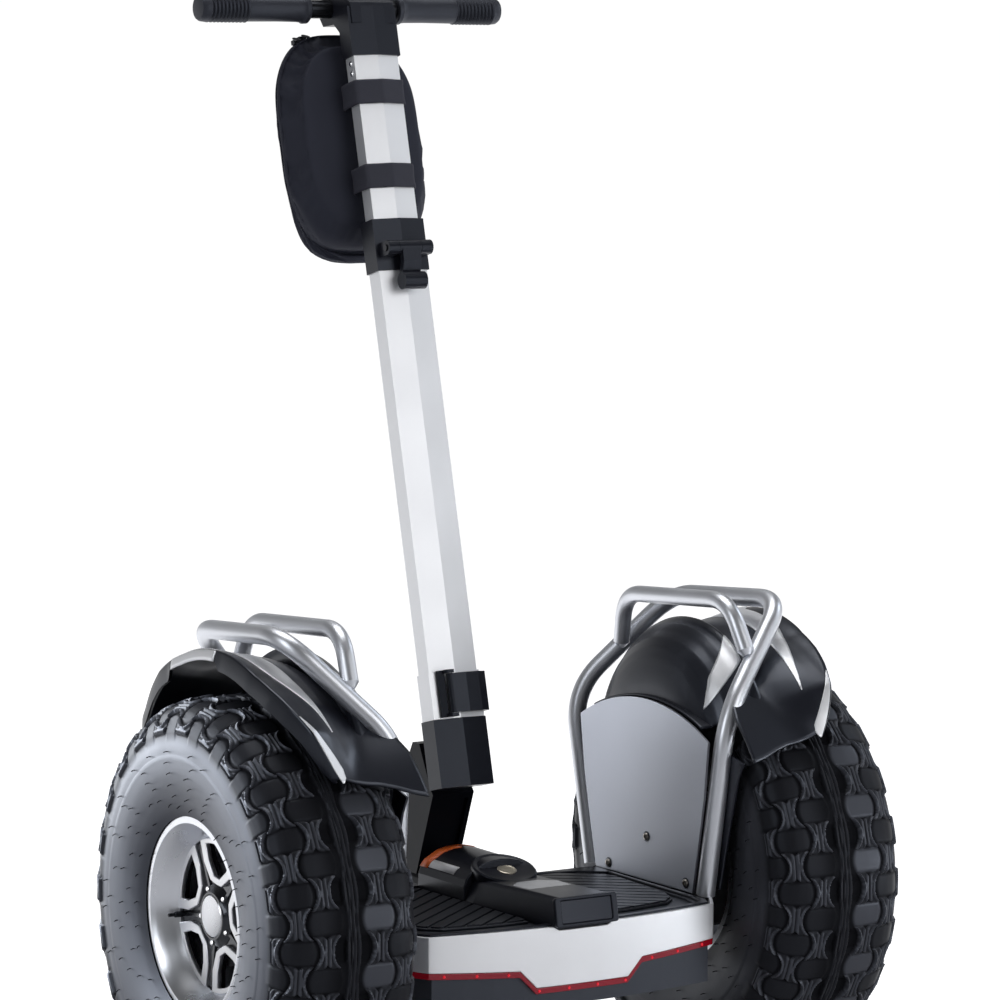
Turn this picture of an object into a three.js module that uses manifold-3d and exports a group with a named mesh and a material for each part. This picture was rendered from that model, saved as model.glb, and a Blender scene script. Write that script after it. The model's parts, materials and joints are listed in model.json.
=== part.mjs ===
// Two-wheeled self-balancing transporter with a leaning steering column.
// Millimetres, +X to the rider's right, +Y forward, +Z up, ground at z = 0.
// The solids are laid out with the wheel axle at y = 0, and the whole group is
// then shifted along Y so that the origin is the bottom centre of the bounding box.

import * as THREE from 'three';
import { mergeVertices } from 'three/addons/utils/BufferGeometryUtils.js';
import Module from 'manifold-3d';

const wasm = await Module();
wasm.setup();

// ---------------------------------------------------------------- driving sizes

const GAP = 0.3;                  // clearance between pieces that touch

const TYRE_RADIUS = 241;          // 19 x 7 - 8 tyre
const WHEEL_X = 322.5;            // wheel centre planes, each side of the middle
const AXLE_Z = TYRE_RADIUS;
const WHEEL_FACETS = 32;
const RIM_LIP_RADIUS = 113.5;
const RIM_LIP_OUT = 74;           // lip plane, outboard of the wheel centre plane

const DECK_TOP = 221;             // top of the deck plate
const MAT_THICK = 5;
const CASE_BOTTOM = 135;
const CASE_HALF = 194;            // half width of the battery case
const REAR_CORNER = { x: 188.6, y: -161.4 };
const REAR_BOW = 20.9;            // how far the rear panel bows out between its corners
const REAR_WING = { x: 222, y: -108 };
const FRONT_Y = 106;
const PANEL_TOP = 225;
const PANEL_THICK = 4;

const SIDE_PANEL_X = 200;         // outer face of the side panels
const RAIL_RADIUS = 11;

const STAND_HINGE = { y: 84, z: 124 };

const PIVOT_Z = 218;              // lean axis, along Y in the middle plane
const SHAFT_RADIUS = 15;

const COLUMN_LEAN = THREE.MathUtils.degToRad(13.8);
const COLUMN_FOOT = new THREE.Vector3(0, 86.8, 350);
const LOWER_TUBE = { width: 65, depth: 34, ridge: 4.6 };
const UPPER_TUBE = { width: 60, depth: 29.2, ridge: 4.6 };
const TUBE_WALL = 2;
const COLLAR_BOTTOM = 605;        // height clamp, along the column from its foot
const COLLAR_TOP = 667;
const MAST_TOP = 922;

const BAR_RADIUS = 11.1;
const BAR_AT = { y: 346, z: 1249 };
const GRIP_END = 205;

// ---------------------------------------------------------------- finishes

const finish = (color, roughness, metalness = 0) =>
  new THREE.MeshStandardMaterial({ color, roughness, metalness });

const rubber = finish(0x1b1b1d, 0.85);
const matRubber = finish(0x232427, 0.8);
const alloy = finish(0xc9ccd0, 0.25, 0.9);
const satinSilver = finish(0xc4c6ca, 0.42, 0.7);
const greyPanel = finish(0x8f9296, 0.5, 0.3);
const darkGrey = finish(0x55585c, 0.55, 0.1);
const matteBlack = finish(0x25272b, 0.6);
const glossBlack = finish(0x101114, 0.25);
const steel = finish(0x9a9ca0, 0.35, 0.9);
const redLens = finish(0xb01818, 0.25);
const lampLens = finish(0x6f7c8c, 0.2);
const fabric = finish(0x202124, 0.95);

// ---------------------------------------------------------------- solid helpers

function toSolid(geometry) {
  const bare = geometry.clone();
  bare.deleteAttribute('normal');
  bare.deleteAttribute('uv');
  const merged = mergeVertices(bare, 1e-4);
  const mesh = new wasm.Mesh({
    numProp: 3,
    vertProperties: new Float32Array(merged.attributes.position.array),
    triVerts: new Uint32Array(merged.index.array),
  });
  return new wasm.Manifold(mesh);
}

function toGeometry(manifold) {
  const { vertProperties, triVerts } = manifold.getMesh();
  const geometry = new THREE.BufferGeometry();
  geometry.setAttribute('position', new THREE.BufferAttribute(vertProperties, 3));
  geometry.setIndex(new THREE.BufferAttribute(triVerts, 1));
  return geometry;
}

const join = (first, ...rest) =>
  toGeometry(rest.reduce((sum, piece) => sum.add(toSolid(piece)), toSolid(first)));

const cut = (first, ...tools) =>
  toGeometry(tools.reduce((left, tool) => left.subtract(toSolid(tool)), toSolid(first)));

const common = (first, second) => toGeometry(toSolid(first).intersect(toSolid(second)));

function outlineShape(points) {
  return new THREE.Shape(points.map(([a, b]) => new THREE.Vector2(a, b)));
}

function extrude(points, depth) {
  const options = { depth, bevelEnabled: false, curveSegments: 12 };
  return new THREE.ExtrudeGeometry(outlineShape(points), options);
}

// An outline drawn in plan (x, y), standing from z = low to z = high.
function prismZ(points, low, high) {
  return extrude(points, high - low).translate(0, 0, low);
}

// An outline drawn from the side (y, z), running from x = low to x = high.
function prismX(points, low, high) {
  const turn = new THREE.Matrix4().set(0, 0, 1, 0, 1, 0, 0, 0, 0, 1, 0, 0, 0, 0, 0, 1);
  return extrude(points, high - low).applyMatrix4(turn).translate(low, 0, 0);
}

// An outline drawn from the rear (x, z), running from y = low to y = high.
function prismY(points, low, high) {
  return extrude(points, high - low).rotateX(Math.PI / 2).translate(0, high, 0);
}

function block(lowX, highX, lowY, highY, lowZ, highZ) {
  const box = new THREE.BoxGeometry(highX - lowX, highY - lowY, highZ - lowZ);
  return box.translate((lowX + highX) / 2, (lowY + highY) / 2, (lowZ + highZ) / 2);
}

// A cylinder of the given radius along one axis, between two stations on it.
function rod(axis, radius, low, high, at, sides = 20) {
  const cylinder = new THREE.CylinderGeometry(radius, radius, high - low, sides);
  const middle = (low + high) / 2;
  if (axis === 'x') {
    return cylinder.rotateZ(-Math.PI / 2).translate(middle, at.y, at.z);
  }
  if (axis === 'y') {
    return cylinder.translate(at.x, middle, at.z);
  }
  return cylinder.rotateX(Math.PI / 2).translate(at.x, at.y, middle);
}

function ringY(outer, inner, low, high, at, sides = 20) {
  return cut(rod('y', outer, low, high, at, sides), rod('y', inner, low - 1, high + 1, at, sides));
}

// A closed profile of [station, radius] pairs turned about the X direction.
// Half a facet of turn leaves a flat at the bottom, like a loaded tyre's footprint.
function turned(profile, segments = WHEEL_FACETS) {
  const points = profile.map(([station, radius]) => new THREE.Vector2(radius, station));
  points.push(points[0].clone());
  const lathe = new THREE.LatheGeometry(points, segments);
  const halfFacet = Math.PI / segments;
  const ring = lathe.rotateZ(-Math.PI / 2).rotateX(halfFacet);
  return signedVolume(ring) < 0 ? flipped(ring) : ring;
}

function signedVolume(geometry) {
  const position = geometry.attributes.position;
  const index = geometry.index;
  const corners = [0, 1, 2].map(() => new THREE.Vector3());
  let volume = 0;
  for (let start = 0; start < index.count; start += 3) {
    corners.forEach((corner, k) => corner.fromBufferAttribute(position, index.getX(start + k)));
    volume += corners[0].dot(corners[1].clone().cross(corners[2])) / 6;
  }
  return volume;
}

function flipped(geometry) {
  const index = geometry.index;
  for (let start = 0; start < index.count; start += 3) {
    const second = index.getX(start + 1);
    index.setX(start + 1, index.getX(start + 2));
    index.setX(start + 2, second);
  }
  return geometry;
}

function mirrored(geometry) {
  const merged = geometry.index ? geometry.clone() : mergeVertices(geometry.clone());
  return flipped(merged.scale(-1, 1, 1));
}

// A round rail through the given corners, each corner rounded off by its own reach.
function rail(corners, radius, steps, sides = 8) {
  const points = corners.map(([x, y, z]) => new THREE.Vector3(x, y, z));
  const path = new THREE.CurvePath();
  let from = points[0];
  points.slice(1, -1).forEach((corner, k) => {
    const reach = corners[k + 1][3];
    const inward = corner.clone().addScaledVector(points[k].clone().sub(corner).normalize(), reach);
    const onward = corner.clone().addScaledVector(points[k + 2].clone().sub(corner).normalize(), reach);
    path.add(new THREE.LineCurve3(from, inward));
    path.add(new THREE.QuadraticBezierCurve3(inward, corner, onward));
    from = onward;
  });
  path.add(new THREE.LineCurve3(from, points.at(-1)));
  const section = new THREE.Shape();
  for (let k = 0; k < sides; k += 1) {
    const turn = (2 * Math.PI * (k + 0.5)) / sides;
    const place = [radius * Math.cos(turn), radius * Math.sin(turn)];
    if (k === 0) {
      section.moveTo(...place);
    } else {
      section.lineTo(...place);
    }
  }
  section.closePath();
  return new THREE.ExtrudeGeometry(section, { steps, extrudePath: path, bevelEnabled: false });
}

// The column's flat six-sided section, with a shallow ridge front and rear.
function hexSection({ width, depth, ridge }, grow = 0) {
  const x = width / 2 + grow;
  const y = depth / 2 + grow;
  return [[0, -y], [x, -y + ridge], [x, y - ridge], [0, y], [-x, y - ridge], [-x, -y + ridge]];
}

const hexPrism = (section, grow, low, high) => prismZ(hexSection(section, grow), low, high);

function hexTube(section, wall, low, high) {
  return cut(hexPrism(section, 0, low, high), hexPrism(section, -wall, low - 1, high + 1));
}

// ---------------------------------------------------------------- assembly

const transporter = new THREE.Group();
const column = new THREE.Group();
column.position.copy(COLUMN_FOOT);
column.rotation.x = -COLUMN_LEAN;
transporter.add(column);

function add(name, geometry, material, parent = transporter) {
  const mesh = new THREE.Mesh(geometry, material);
  mesh.name = name;
  parent.add(mesh);
  return mesh;
}

// A right-hand piece and its mirror image on the left.
function addPair(name, geometry, material) {
  add(`right_${name}`, geometry, material);
  add(`left_${name}`, mirrored(geometry), material);
}

// ---------------------------------------------------------------- wheels and drive

const atWheel = (geometry) => geometry.translate(WHEEL_X, 0, AXLE_Z);
const crownRadius = TYRE_RADIUS / Math.cos(Math.PI / WHEEL_FACETS);

function tyre() {
  const outside = [[46, 102.2], [64.6, 102.2], [70, 114.6], [77, 117], [87, 150], [89, 176],
    [85, 208], [74, 229], [55, 238], [28, crownRadius]];
  const inside = [[24, 231], [64, 222], [78, 176], [66, 124]];
  const profile = [...outside, ...outside.toReversed().map(([s, r]) => [-s, r]),
    ...inside.toReversed().map(([s, r]) => [-s, r]), ...inside];
  return atWheel(turned(profile));
}

// One cast wheel: barrel, lips and the recessed disc with five windows.
function rim() {
  const tyreSide = [[RIM_LIP_OUT, RIM_LIP_RADIUS], [70, RIM_LIP_RADIUS], [65.5, 101.6], [40, 101.6],
    [30, 92], [-22, 92], [-34, 101.6], [-65.5, 101.6], [-70, RIM_LIP_RADIUS],
    [-RIM_LIP_OUT, RIM_LIP_RADIUS]];
  const inside = [[-RIM_LIP_OUT, 104], [-34, 95], [-22, 86], [34, 86], [34, 22], [46, 22],
    [47, 86], [RIM_LIP_OUT, 103]];
  const body = turned([...tyreSide, ...inside]);
  const windows = [];
  for (let k = 0; k < 5; k += 1) {
    const pentagon = [[38, -11], [38, 11], [62, 24], [78, 16], [78, -16], [62, -24]];
    windows.push(prismX(pentagon, 30, 50).rotateX((2 * Math.PI * k) / 5 + Math.PI / 2));
  }
  return atWheel(cut(body, ...windows));
}

function centreCap() {
  return atWheel(turned([[46.3, 0], [46.3, 23.7], [50, 23.7], [52, 20], [52, 0]], 20));
}

function hub() {
  const flange = [[6, 14.3], [33.7, 14.3], [33.7, 58], [26, 60], [20, 30], [6, 30]];
  return atWheel(turned(flange, 20));
}

function driveShaft() {
  return rod('x', 14, WHEEL_X - 30, WHEEL_X + 44, { y: 0, z: AXLE_Z });
}

function hubMotor() {
  const housing = rod('x', 78, SIDE_PANEL_X + 7.8, WHEEL_X + 2, { y: 0, z: AXLE_Z }, 24);
  const bore = rod('x', 16, WHEEL_X - 34, WHEEL_X + 6, { y: 0, z: AXLE_Z });
  return cut(housing, bore);
}

addPair('tyre', tyre(), rubber);
addPair('wheel_rim', rim(), alloy);
addPair('centre_cap', centreCap(), alloy);
addPair('hub', hub(), steel);
addPair('drive_shaft', driveShaft(), steel);
addPair('hub_motor', hubMotor(), matteBlack);

// ---------------------------------------------------------------- chassis

// The bowed rear edge in plan, from the left corner to the right one.
function bowedEdge(inset) {
  const halfChord = REAR_CORNER.x;
  const radius = (halfChord ** 2 + REAR_BOW ** 2) / (2 * REAR_BOW);
  const half = Math.asin(halfChord / radius);
  const steps = 10;
  const centreY = REAR_CORNER.y - REAR_BOW + radius;
  const reach = radius - inset;
  return Array.from({ length: steps + 1 }, (_, k) => {
    const turn = half * ((2 * k) / steps - 1) * (1 - inset / halfChord);
    return [reach * Math.sin(turn), centreY - reach * Math.cos(turn)];
  });
}

// One of the two lugs under the case that hold the stand's pin outside its eye.
function standEar(low, high) {
  const lug = block(low, high, STAND_HINGE.y - 12, STAND_HINGE.y + 12, STAND_HINGE.z - 10, CASE_BOTTOM + 1);
  return cut(lug, rod('x', 4.3, low - 1, high + 1, STAND_HINGE, 12));
}

function chassisCase() {
  const rear = bowedEdge(PANEL_THICK + GAP);
  const half = [[CASE_HALF, -140], [CASE_HALF, -100], [SIDE_PANEL_X, -96], [SIDE_PANEL_X, 88],
    [CASE_HALF, 92], [CASE_HALF - 6, FRONT_Y - PANEL_THICK - GAP]];
  const outline = [...rear, ...half, ...half.toReversed().map(([x, y]) => [-x, y])];
  const shell = prismZ(outline, CASE_BOTTOM, DECK_TOP - 3 - GAP);
  const wall = 5;
  const hollow = block(-CASE_HALF + wall, CASE_HALF - wall, -146, FRONT_Y - PANEL_THICK - wall - 1,
    CASE_BOTTOM + wall, DECK_TOP + 5);
  const shaftExit = rod('y', 26, 80, 130, { x: 0, z: PIVOT_Z });
  return cut(join(shell, standEar(120, 134), standEar(-134, -120)), hollow, shaftExit);
}

// The light line under the rear panel: high at the sides, stepping down in the middle.
const LIGHT_LINE = [[-240, 187.6], [-188.6, 184.8], [-80.6, 178.5], [-60.4, 158], [60.4, 158],
  [80.6, 178.5], [188.6, 184.8], [240, 187.6]];

function panelStrip(inset) {
  const outer = [[-REAR_WING.x, REAR_WING.y], ...bowedEdge(inset), [REAR_WING.x, REAR_WING.y]];
  const inner = [[REAR_WING.x - 3, REAR_WING.y], ...bowedEdge(PANEL_THICK).toReversed(),
    [-REAR_WING.x + 3, REAR_WING.y]];
  return [...outer, ...inner];
}

function rearPanel() {
  const strip = prismZ(panelStrip(0), 150, PANEL_TOP);
  const below = [...LIGHT_LINE, [240, 100], [-240, 100]];
  const lampNotch = block(-40, 40, -200, -170, 212, 240);
  return cut(strip, prismY(below, -250, 0), lampNotch);
}

function rearLightStrip() {
  const strip = prismZ(panelStrip(1), 140, 200);
  const drop = (by) => LIGHT_LINE.map(([x, z]) => [x, z - by]);
  const band = [...drop(GAP), ...drop(8).toReversed()];
  return common(strip, prismY(band, -250, 0));
}

function frontPanel() {
  const plate = block(-CASE_HALF, CASE_HALF, FRONT_Y - PANEL_THICK, FRONT_Y, 150, PANEL_TOP);
  return cut(plate, rod('y', 26, 80, 130, { x: 0, z: PIVOT_Z }));
}

function deckPlate() {
  const rear = bowedEdge(PANEL_THICK + GAP);
  const half = [[CASE_HALF, -140], [CASE_HALF, 92], [CASE_HALF - 6, FRONT_Y - PANEL_THICK - GAP]];
  const outline = [...rear, ...half, ...half.toReversed().map(([x, y]) => [-x, y])];
  const plate = prismZ(outline, DECK_TOP - 3, DECK_TOP);
  return cut(plate, block(-53, 53, -14, 130, 200, 240));
}

function footMat() {
  const outline = [[58, -150], [182, -140], [189, -128], [189, 70], [176, 92], [58, 98]];
  return prismZ(outline, DECK_TOP + GAP, DECK_TOP + MAT_THICK);
}

// Tunnel over the lean shaft, and the tail that slopes down to the rear lamp.
function pivotHousing() {
  const arch = [[-50, DECK_TOP + GAP], [50, DECK_TOP + GAP], [49, 245], [40, 258], [20, 267],
    [-20, 267], [-40, 258], [-49, 245]];
  const tunnel = prismY(arch, -20, 100);
  const below = prismY([[-50, 195], [50, 195], [50, 230], [-50, 230]], -12, 80);
  const tail = [[-20, DECK_TOP + GAP], [-178, DECK_TOP + GAP], [-184, 232], [-178, 258], [-60, 255],
    [4, 273], [28, 273], [34, 262]];
  const tailBody = prismX(tail.toReversed(), -38, 38);
  const pocket = rod('y', 24, 6, 140, { x: 0, z: PIVOT_Z });
  return cut(join(tunnel, tailBody, below), pocket);
}

function tailLamp() {
  return prismX([[-184.6, 232], [-188, 228.5], [-182, 257.5], [-178.7, 258.4]].toReversed(), -33, 33);
}

add('chassis_case', chassisCase(), darkGrey);
add('rear_panel', rearPanel(), satinSilver);
add('rear_light_strip', rearLightStrip(), redLens);
add('front_panel', frontPanel(), satinSilver);
add('deck_plate', deckPlate(), satinSilver);
addPair('foot_mat', footMat(), matRubber);
add('pivot_housing', pivotHousing(), matteBlack);
add('tail_lamp', tailLamp(), lampLens);
add('battery_pack', block(-150, 150, -90, 20, 141, 193), matteBlack);
add('control_board', block(-150, 150, 30, 88, 142, 160), matteBlack);
const onPivot = { x: 0, z: PIVOT_Z };
add('front_bearing', ringY(23.7, SHAFT_RADIUS + GAP, 76, 96, onPivot), steel);
add('rear_bearing', ringY(23.7, SHAFT_RADIUS + GAP, 8, 26, onPivot), steel);
add('centring_bush', ringY(23.7, SHAFT_RADIUS + GAP, 34, 68, onPivot), rubber);

// ---------------------------------------------------------------- sides

// Upper edge shared by the side panel and the arch of the inner cover.
const ARCH_RADIUS = 286;
const ARCH_TOP = 442;

function archPoints(radius, halfWidth, steps = 8) {
  const half = Math.asin(halfWidth / radius);
  const centreZ = ARCH_TOP - ARCH_RADIUS;
  return Array.from({ length: steps + 1 }, (_, k) => {
    const turn = half * (1 - (2 * k) / steps);
    return [radius * Math.sin(turn), centreZ + radius * Math.cos(turn)];
  });
}

function sidePanel() {
  const outline = [[-104, PANEL_TOP + 1.5], [100, PANEL_TOP + 1.5], [128, 340],
    ...archPoints(ARCH_RADIUS, 138), [-130, 340]];
  return prismX(outline, SIDE_PANEL_X - 3, SIDE_PANEL_X);
}

function sideFrame() {
  const outline = [[-88, 142], [80, 142], [80, 230], [110, 390], [-110, 390], [-88, 230]];
  return prismX(outline, SIDE_PANEL_X + GAP, SIDE_PANEL_X + 7.5);
}

// Outer hoop: both legs rise from the deck's edge and flare out over the wheel.
const LEG_FOOT = PANEL_TOP + 2;
const GUARD_POINTS = [[208, -117, LEG_FOOT], [216, -147, 438, 46], [331, -90, 560, 42],
  [323, 126, 546, 42], [215, 181, 428, 46], [208, 124, LEG_FOOT]];
const GRAB_POINTS = [[262, -117, 508], [257, -90, 563, 34], [255, 128, 550, 34], [262, 146, 489]];

const guardHoop = () => rail(GUARD_POINTS, RAIL_RADIUS, 26);

// The grab hoop's ends are coped to the guard hoop that they are welded to.
const grabHoop = () => cut(
  rail(GRAB_POINTS, RAIL_RADIUS - 1, 16),
  rail(GUARD_POINTS, RAIL_RADIUS + GAP, 26),
);

// Fender over the tyre: a thin shell turned about a line above the axle.
const FENDER_CENTRE_Z = 322;

function sector(reach, lowX, highX, fromDegrees, toDegrees, centreZ) {
  const steps = 12;
  const outline = [[0, centreZ]];
  for (let k = 0; k <= steps; k += 1) {
    const turn = THREE.MathUtils.degToRad(fromDegrees + ((toDegrees - fromDegrees) * k) / steps);
    outline.push([reach * Math.cos(turn), centreZ + reach * Math.sin(turn)]);
  }
  return prismX(outline, lowX, highX);
}

function fender() {
  const outer = [[268, 186], [284, 196], [300, 202], [318, 206], [346, 211], [366, 216], [371, 197]];
  const inner = outer.map(([x, radius]) => [x, radius - 4]).toReversed();
  const shell = turned([...outer, ...inner], 40).translate(0, 0, FENDER_CENTRE_Z);
  const kept = common(shell, sector(300, 250, 380, 23, 157, FENDER_CENTRE_Z));
  return cut(kept, tyreRoom());
}

// The space that the turning tyre needs under the fender.
function tyreRoom() {
  return rod('x', TYRE_RADIUS + 11, 230, 420, { y: 0, z: AXLE_Z }, 48);
}

// Inner cover: the domed piece between the side panel and the fender.
function innerCover() {
  const outer = [[207, 60], [208, 96], [213, 118], [224, 139], [240, 157], [262, 169], [266.5, 170]];
  const inner = outer.map(([x, radius]) => [x + 4, Math.max(radius - 4, 56)]).toReversed();
  const shell = turned([...outer, [270, 170], ...inner], 40).translate(0, 0, 365);
  const kept = [...archPoints(ARCH_RADIUS + 7, 118), [-160, 470], [-160, 620], [160, 620], [160, 470]];
  return cut(common(shell, prismX(kept, 200, 267.5)), tyreRoom(), rail(GUARD_POINTS, RAIL_RADIUS + 1, 26));
}

addPair('side_panel', sidePanel(), greyPanel);
addPair('side_frame', sideFrame(), steel);
addPair('guard_hoop', guardHoop(), satinSilver);
addPair('grab_hoop', grabHoop(), satinSilver);
addPair('fender', fender(), glossBlack);
addPair('inner_cover', innerCover(), matteBlack);

// ---------------------------------------------------------------- parking stand

function parkingStand() {
  const foot = STAND_HINGE.y + 66;
  const eye = rod('x', 9, -118, 118, STAND_HINGE, 12);
  const legShape = [[STAND_HINGE.y - 7, 124], [STAND_HINGE.y + 7, 124], [foot + 8, 6], [foot - 8, 6]];
  const rightLeg = prismX(legShape.toReversed(), 96, 112);
  const leftLeg = prismX(legShape.toReversed(), -112, -96);
  const bar = block(-126, 126, foot - 12, foot + 12, 0, 10);
  return cut(join(eye, rightLeg, leftLeg, bar), rod('x', 4.3, -130, 130, STAND_HINGE, 12));
}

function standPin() {
  return rod('x', 4, -134, 134, STAND_HINGE, 12);
}

add('parking_stand', parkingStand(), steel);
add('stand_pin', standPin(), steel);

// ---------------------------------------------------------------- lean shaft and bracket

function columnBracket() {
  const boss = rod('y', 22, 106 + GAP + 2, 214, onPivot, 20);
  const arm = [[143, 232], [196, 232], [192, 262], [168, 330], [160, 372], [151, 388], [136, 388],
    [117, 352], [108, 336], [104, 331]];
  const channel = [[141, 252], [112, 325], [96, 322], [120, 246]];
  const body = join(boss, prismX(arm, -28, 28));
  const bore = rod('y', SHAFT_RADIUS + GAP, 100, 206, onPivot);
  return cut(body, prismX(channel.toReversed(), -22, 22), bore);
}

const SOCKET = { width: 71, depth: 43, ridge: 7 };

function columnSocket() {
  const body = hexPrism(SOCKET, 0, -9, 71);
  const shoe = hexPrism(LOWER_TUBE, GAP, 2, 72);
  return cut(body, shoe);
}

// The bracket is trimmed to the socket's front face, which leans with the column.
function fittedBracket() {
  const clearance = hexPrism(SOCKET, GAP, -9 - GAP, 90);
  clearance.rotateX(-COLUMN_LEAN).translate(COLUMN_FOOT.x, COLUMN_FOOT.y, COLUMN_FOOT.z);
  return cut(columnBracket(), clearance);
}

add('pivot_shaft', rod('y', SHAFT_RADIUS, 8, 204, onPivot), steel);
add('column_bracket', fittedBracket(), glossBlack);
add('column_socket', columnSocket(), glossBlack, column);

// ---------------------------------------------------------------- lower column

const SLEEVE_TOP = 126;

function lowerTube() {
  const tube = hexTube(LOWER_TUBE, TUBE_WALL, 2 + GAP, 640);
  const sleeve = cut(hexPrism(LOWER_TUBE, 1.6, 71 + GAP, SLEEVE_TOP),
    hexPrism(LOWER_TUBE, -TUBE_WALL, 60, 140));
  return join(tube, sleeve);
}

// The latch wraps over the rear ridge, from its pin on the left to the right edge.
const LATCH_PIN = { x: -13, y: -26.5 };
const LATCH = { bottom: 77, top: 123 };

function latchLever() {
  const eye = rod('z', 4.4, LATCH.bottom, LATCH.top, LATCH_PIN, 12);
  const cover = [[-13, -30.8], [6, -31.5], [24, -29.5], [36, -24], [40, -16], [40, -4], [35.4, -4],
    [35.4, -16.5], [2, -22], [-11, -22.5]];
  const body = join(eye, prismZ(cover, LATCH.bottom, LATCH.top));
  return cut(body, rod('z', 2.3, LATCH.bottom - 1, LATCH.top + 1, LATCH_PIN, 12));
}

function latchPlate() {
  const plate = [[-26, -16.6], [-26, -20.1], [-18, -22.6], [-18, -18.5]];
  const arm = [[-20, -18.2], [-20, -28], [-17.8, -30.6], [-9, -30.6], [-9, -20.4]];
  const hinge = (low, high) => cut(prismZ(arm, low, high), rod('z', 2.3, low - 1, high + 1, LATCH_PIN, 12));
  return join(
    prismZ(plate.toReversed(), LATCH.bottom - 4.5, LATCH.top + 4.5),
    hinge(LATCH.bottom - 4.5, LATCH.bottom - 0.5),
    hinge(LATCH.top + 0.5, LATCH.top + 4.5),
  );
}

add('lower_tube', lowerTube(), satinSilver, column);
add('latch_plate', latchPlate(), matteBlack, column);
add('latch_pin', rod('z', 2, LATCH.bottom - 4.4, LATCH.top + 4.4, LATCH_PIN, 12), steel, column);
add('latch_lever', latchLever(), glossBlack, column);

// ---------------------------------------------------------------- height clamp

const COLLAR = { width: 70, depth: 39, ridge: 5.4 };
const CLAMP_PIN = { y: -30, z: 629 };

function clampCollar() {
  const body = hexPrism(COLLAR, 0, COLLAR_BOTTOM, COLLAR_TOP);
  const lugs = [rod('x', 8.8, 15, 30, CLAMP_PIN), rod('x', 8.8, -30, -15, CLAMP_PIN)];
  const webs = [block(15, 30, -28, -14, 620.5, 637.5), block(-30, -15, -28, -14, 620.5, 637.5)];
  return cut(
    join(body, ...lugs, ...webs),
    hexPrism(LOWER_TUBE, GAP, COLLAR_BOTTOM - 1, 640 + GAP),
    hexPrism(UPPER_TUBE, GAP, 630, COLLAR_TOP + 1),
    rod('x', 4.3, -40, 40, CLAMP_PIN),
  );
}

function clampLever() {
  const eye = rod('x', 8.8, -14.6, 14.6, CLAMP_PIN);
  const neck = [[-38.6, 627], [-38, 612], [-32, 600], [-36, 590], [-24, 586], [-24, 600], [-29.5, 612],
    [-30, 622]];
  const roll = rod('x', 10.5, -15, 15, { y: -32, z: 589 });
  const body = join(eye, prismX(neck, -12, 12), roll);
  return cut(body, rod('x', 4.3, -20, 20, CLAMP_PIN));
}

add('clamp_collar', clampCollar(), glossBlack, column);
add('clamp_pin', rod('x', 4, -31.5, 31.5, CLAMP_PIN), steel, column);
add('clamp_lever', clampLever(), glossBlack, column);

// ---------------------------------------------------------------- mast and handlebar

// The bar sits ahead of the column, in a block that reaches forward from the top cap.
const barY = (BAR_AT.y - COLUMN_FOOT.y) * Math.cos(COLUMN_LEAN)
  - (BAR_AT.z - COLUMN_FOOT.z) * Math.sin(COLUMN_LEAN);
const barZ = (BAR_AT.y - COLUMN_FOOT.y) * Math.sin(COLUMN_LEAN)
  + (BAR_AT.z - COLUMN_FOOT.z) * Math.cos(COLUMN_LEAN);
const BAR = { y: barY, z: barZ };
const CAP_BOTTOM = 866;

function topCap() {
  const sleeve = hexPrism(UPPER_TUBE, 2.6, CAP_BOTTOM, MAST_TOP + 4);
  const head = [[-15, 905], [14, 896], [30, 914], [56, 918], [62, 930], [60, 948], [40, 956],
    [-6, 938], [-15, 930]];
  return cut(
    join(sleeve, prismX(head, -29, 29)),
    hexPrism(UPPER_TUBE, GAP, CAP_BOTTOM - 1, MAST_TOP),
    rod('x', BAR_RADIUS + GAP, -40, 40, BAR),
  );
}

function grip() {
  return cut(
    rod('x', 15.6, 78, GRIP_END, BAR, 16),
    rod('x', BAR_RADIUS + GAP, 70, GRIP_END - 4, BAR, 16),
  );
}

function displayConsole() {
  const base = rod('z', 21, 956, 974, { x: 0, y: 38 });
  const pod = rod('z', 36, 972, 994, { x: 0, y: 38 }, 24);
  const well = rod('z', 7.3, 985, 1000, { x: 20, y: 38 }, 16);
  return cut(join(base, pod), well);
}

const STRAPS = [{ name: 'lower_strap', low: 705 }, { name: 'upper_strap', low: 807 }];
const STRAP_WIDTH = 29;

function strap(low) {
  const band = { width: 63.6, depth: 33, ridge: 4.6 };
  const outer = hexPrism(band, 0, low, low + STRAP_WIDTH);
  const reach = block(-31.8, 31.8, 4, 25.6, low, low + STRAP_WIDTH);
  const hollow = join(
    hexPrism(UPPER_TUBE, GAP, low - 1, low + STRAP_WIDTH + 1),
    block(-30.3, 30.3, 0, 24, low - 1, low + STRAP_WIDTH + 1),
  );
  return cut(join(outer, reach), hollow);
}

function bag() {
  const plan = [[-60, 26], [60, 26], [87, 40], [92, 66], [83, 96], [52, 110], [0, 116], [-52, 110],
    [-83, 96], [-92, 66], [-87, 40]];
  const front = [[-53, 634], [53, 634], [81, 650], [93, 700], [93, 806], [85, 860], [67, 892],
    [45, 904], [-45, 904], [-67, 892], [-85, 860], [-93, 806], [-93, 700], [-81, 650]];
  return common(prismZ(plan, 630, 910), prismY(front, 20, 120));
}

add('upper_tube', hexTube(UPPER_TUBE, TUBE_WALL, 470, MAST_TOP - GAP), satinSilver, column);
add('top_cap', topCap(), glossBlack, column);
add('handlebar', rod('x', BAR_RADIUS, -(GRIP_END - 4.5), GRIP_END - 4.5, BAR), steel, column);
add('right_grip', grip(), rubber, column);
add('left_grip', mirrored(grip()), rubber, column);
add('display_console', displayConsole(), matteBlack, column);
add('power_button', rod('z', 7, 990, 996, { x: 20, y: 38 }, 16), rubber, column);
add('bag', bag(), fabric, column);
STRAPS.forEach(({ name, low }) => add(name, strap(low), fabric, column));

// ---------------------------------------------------------------- origin

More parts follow.
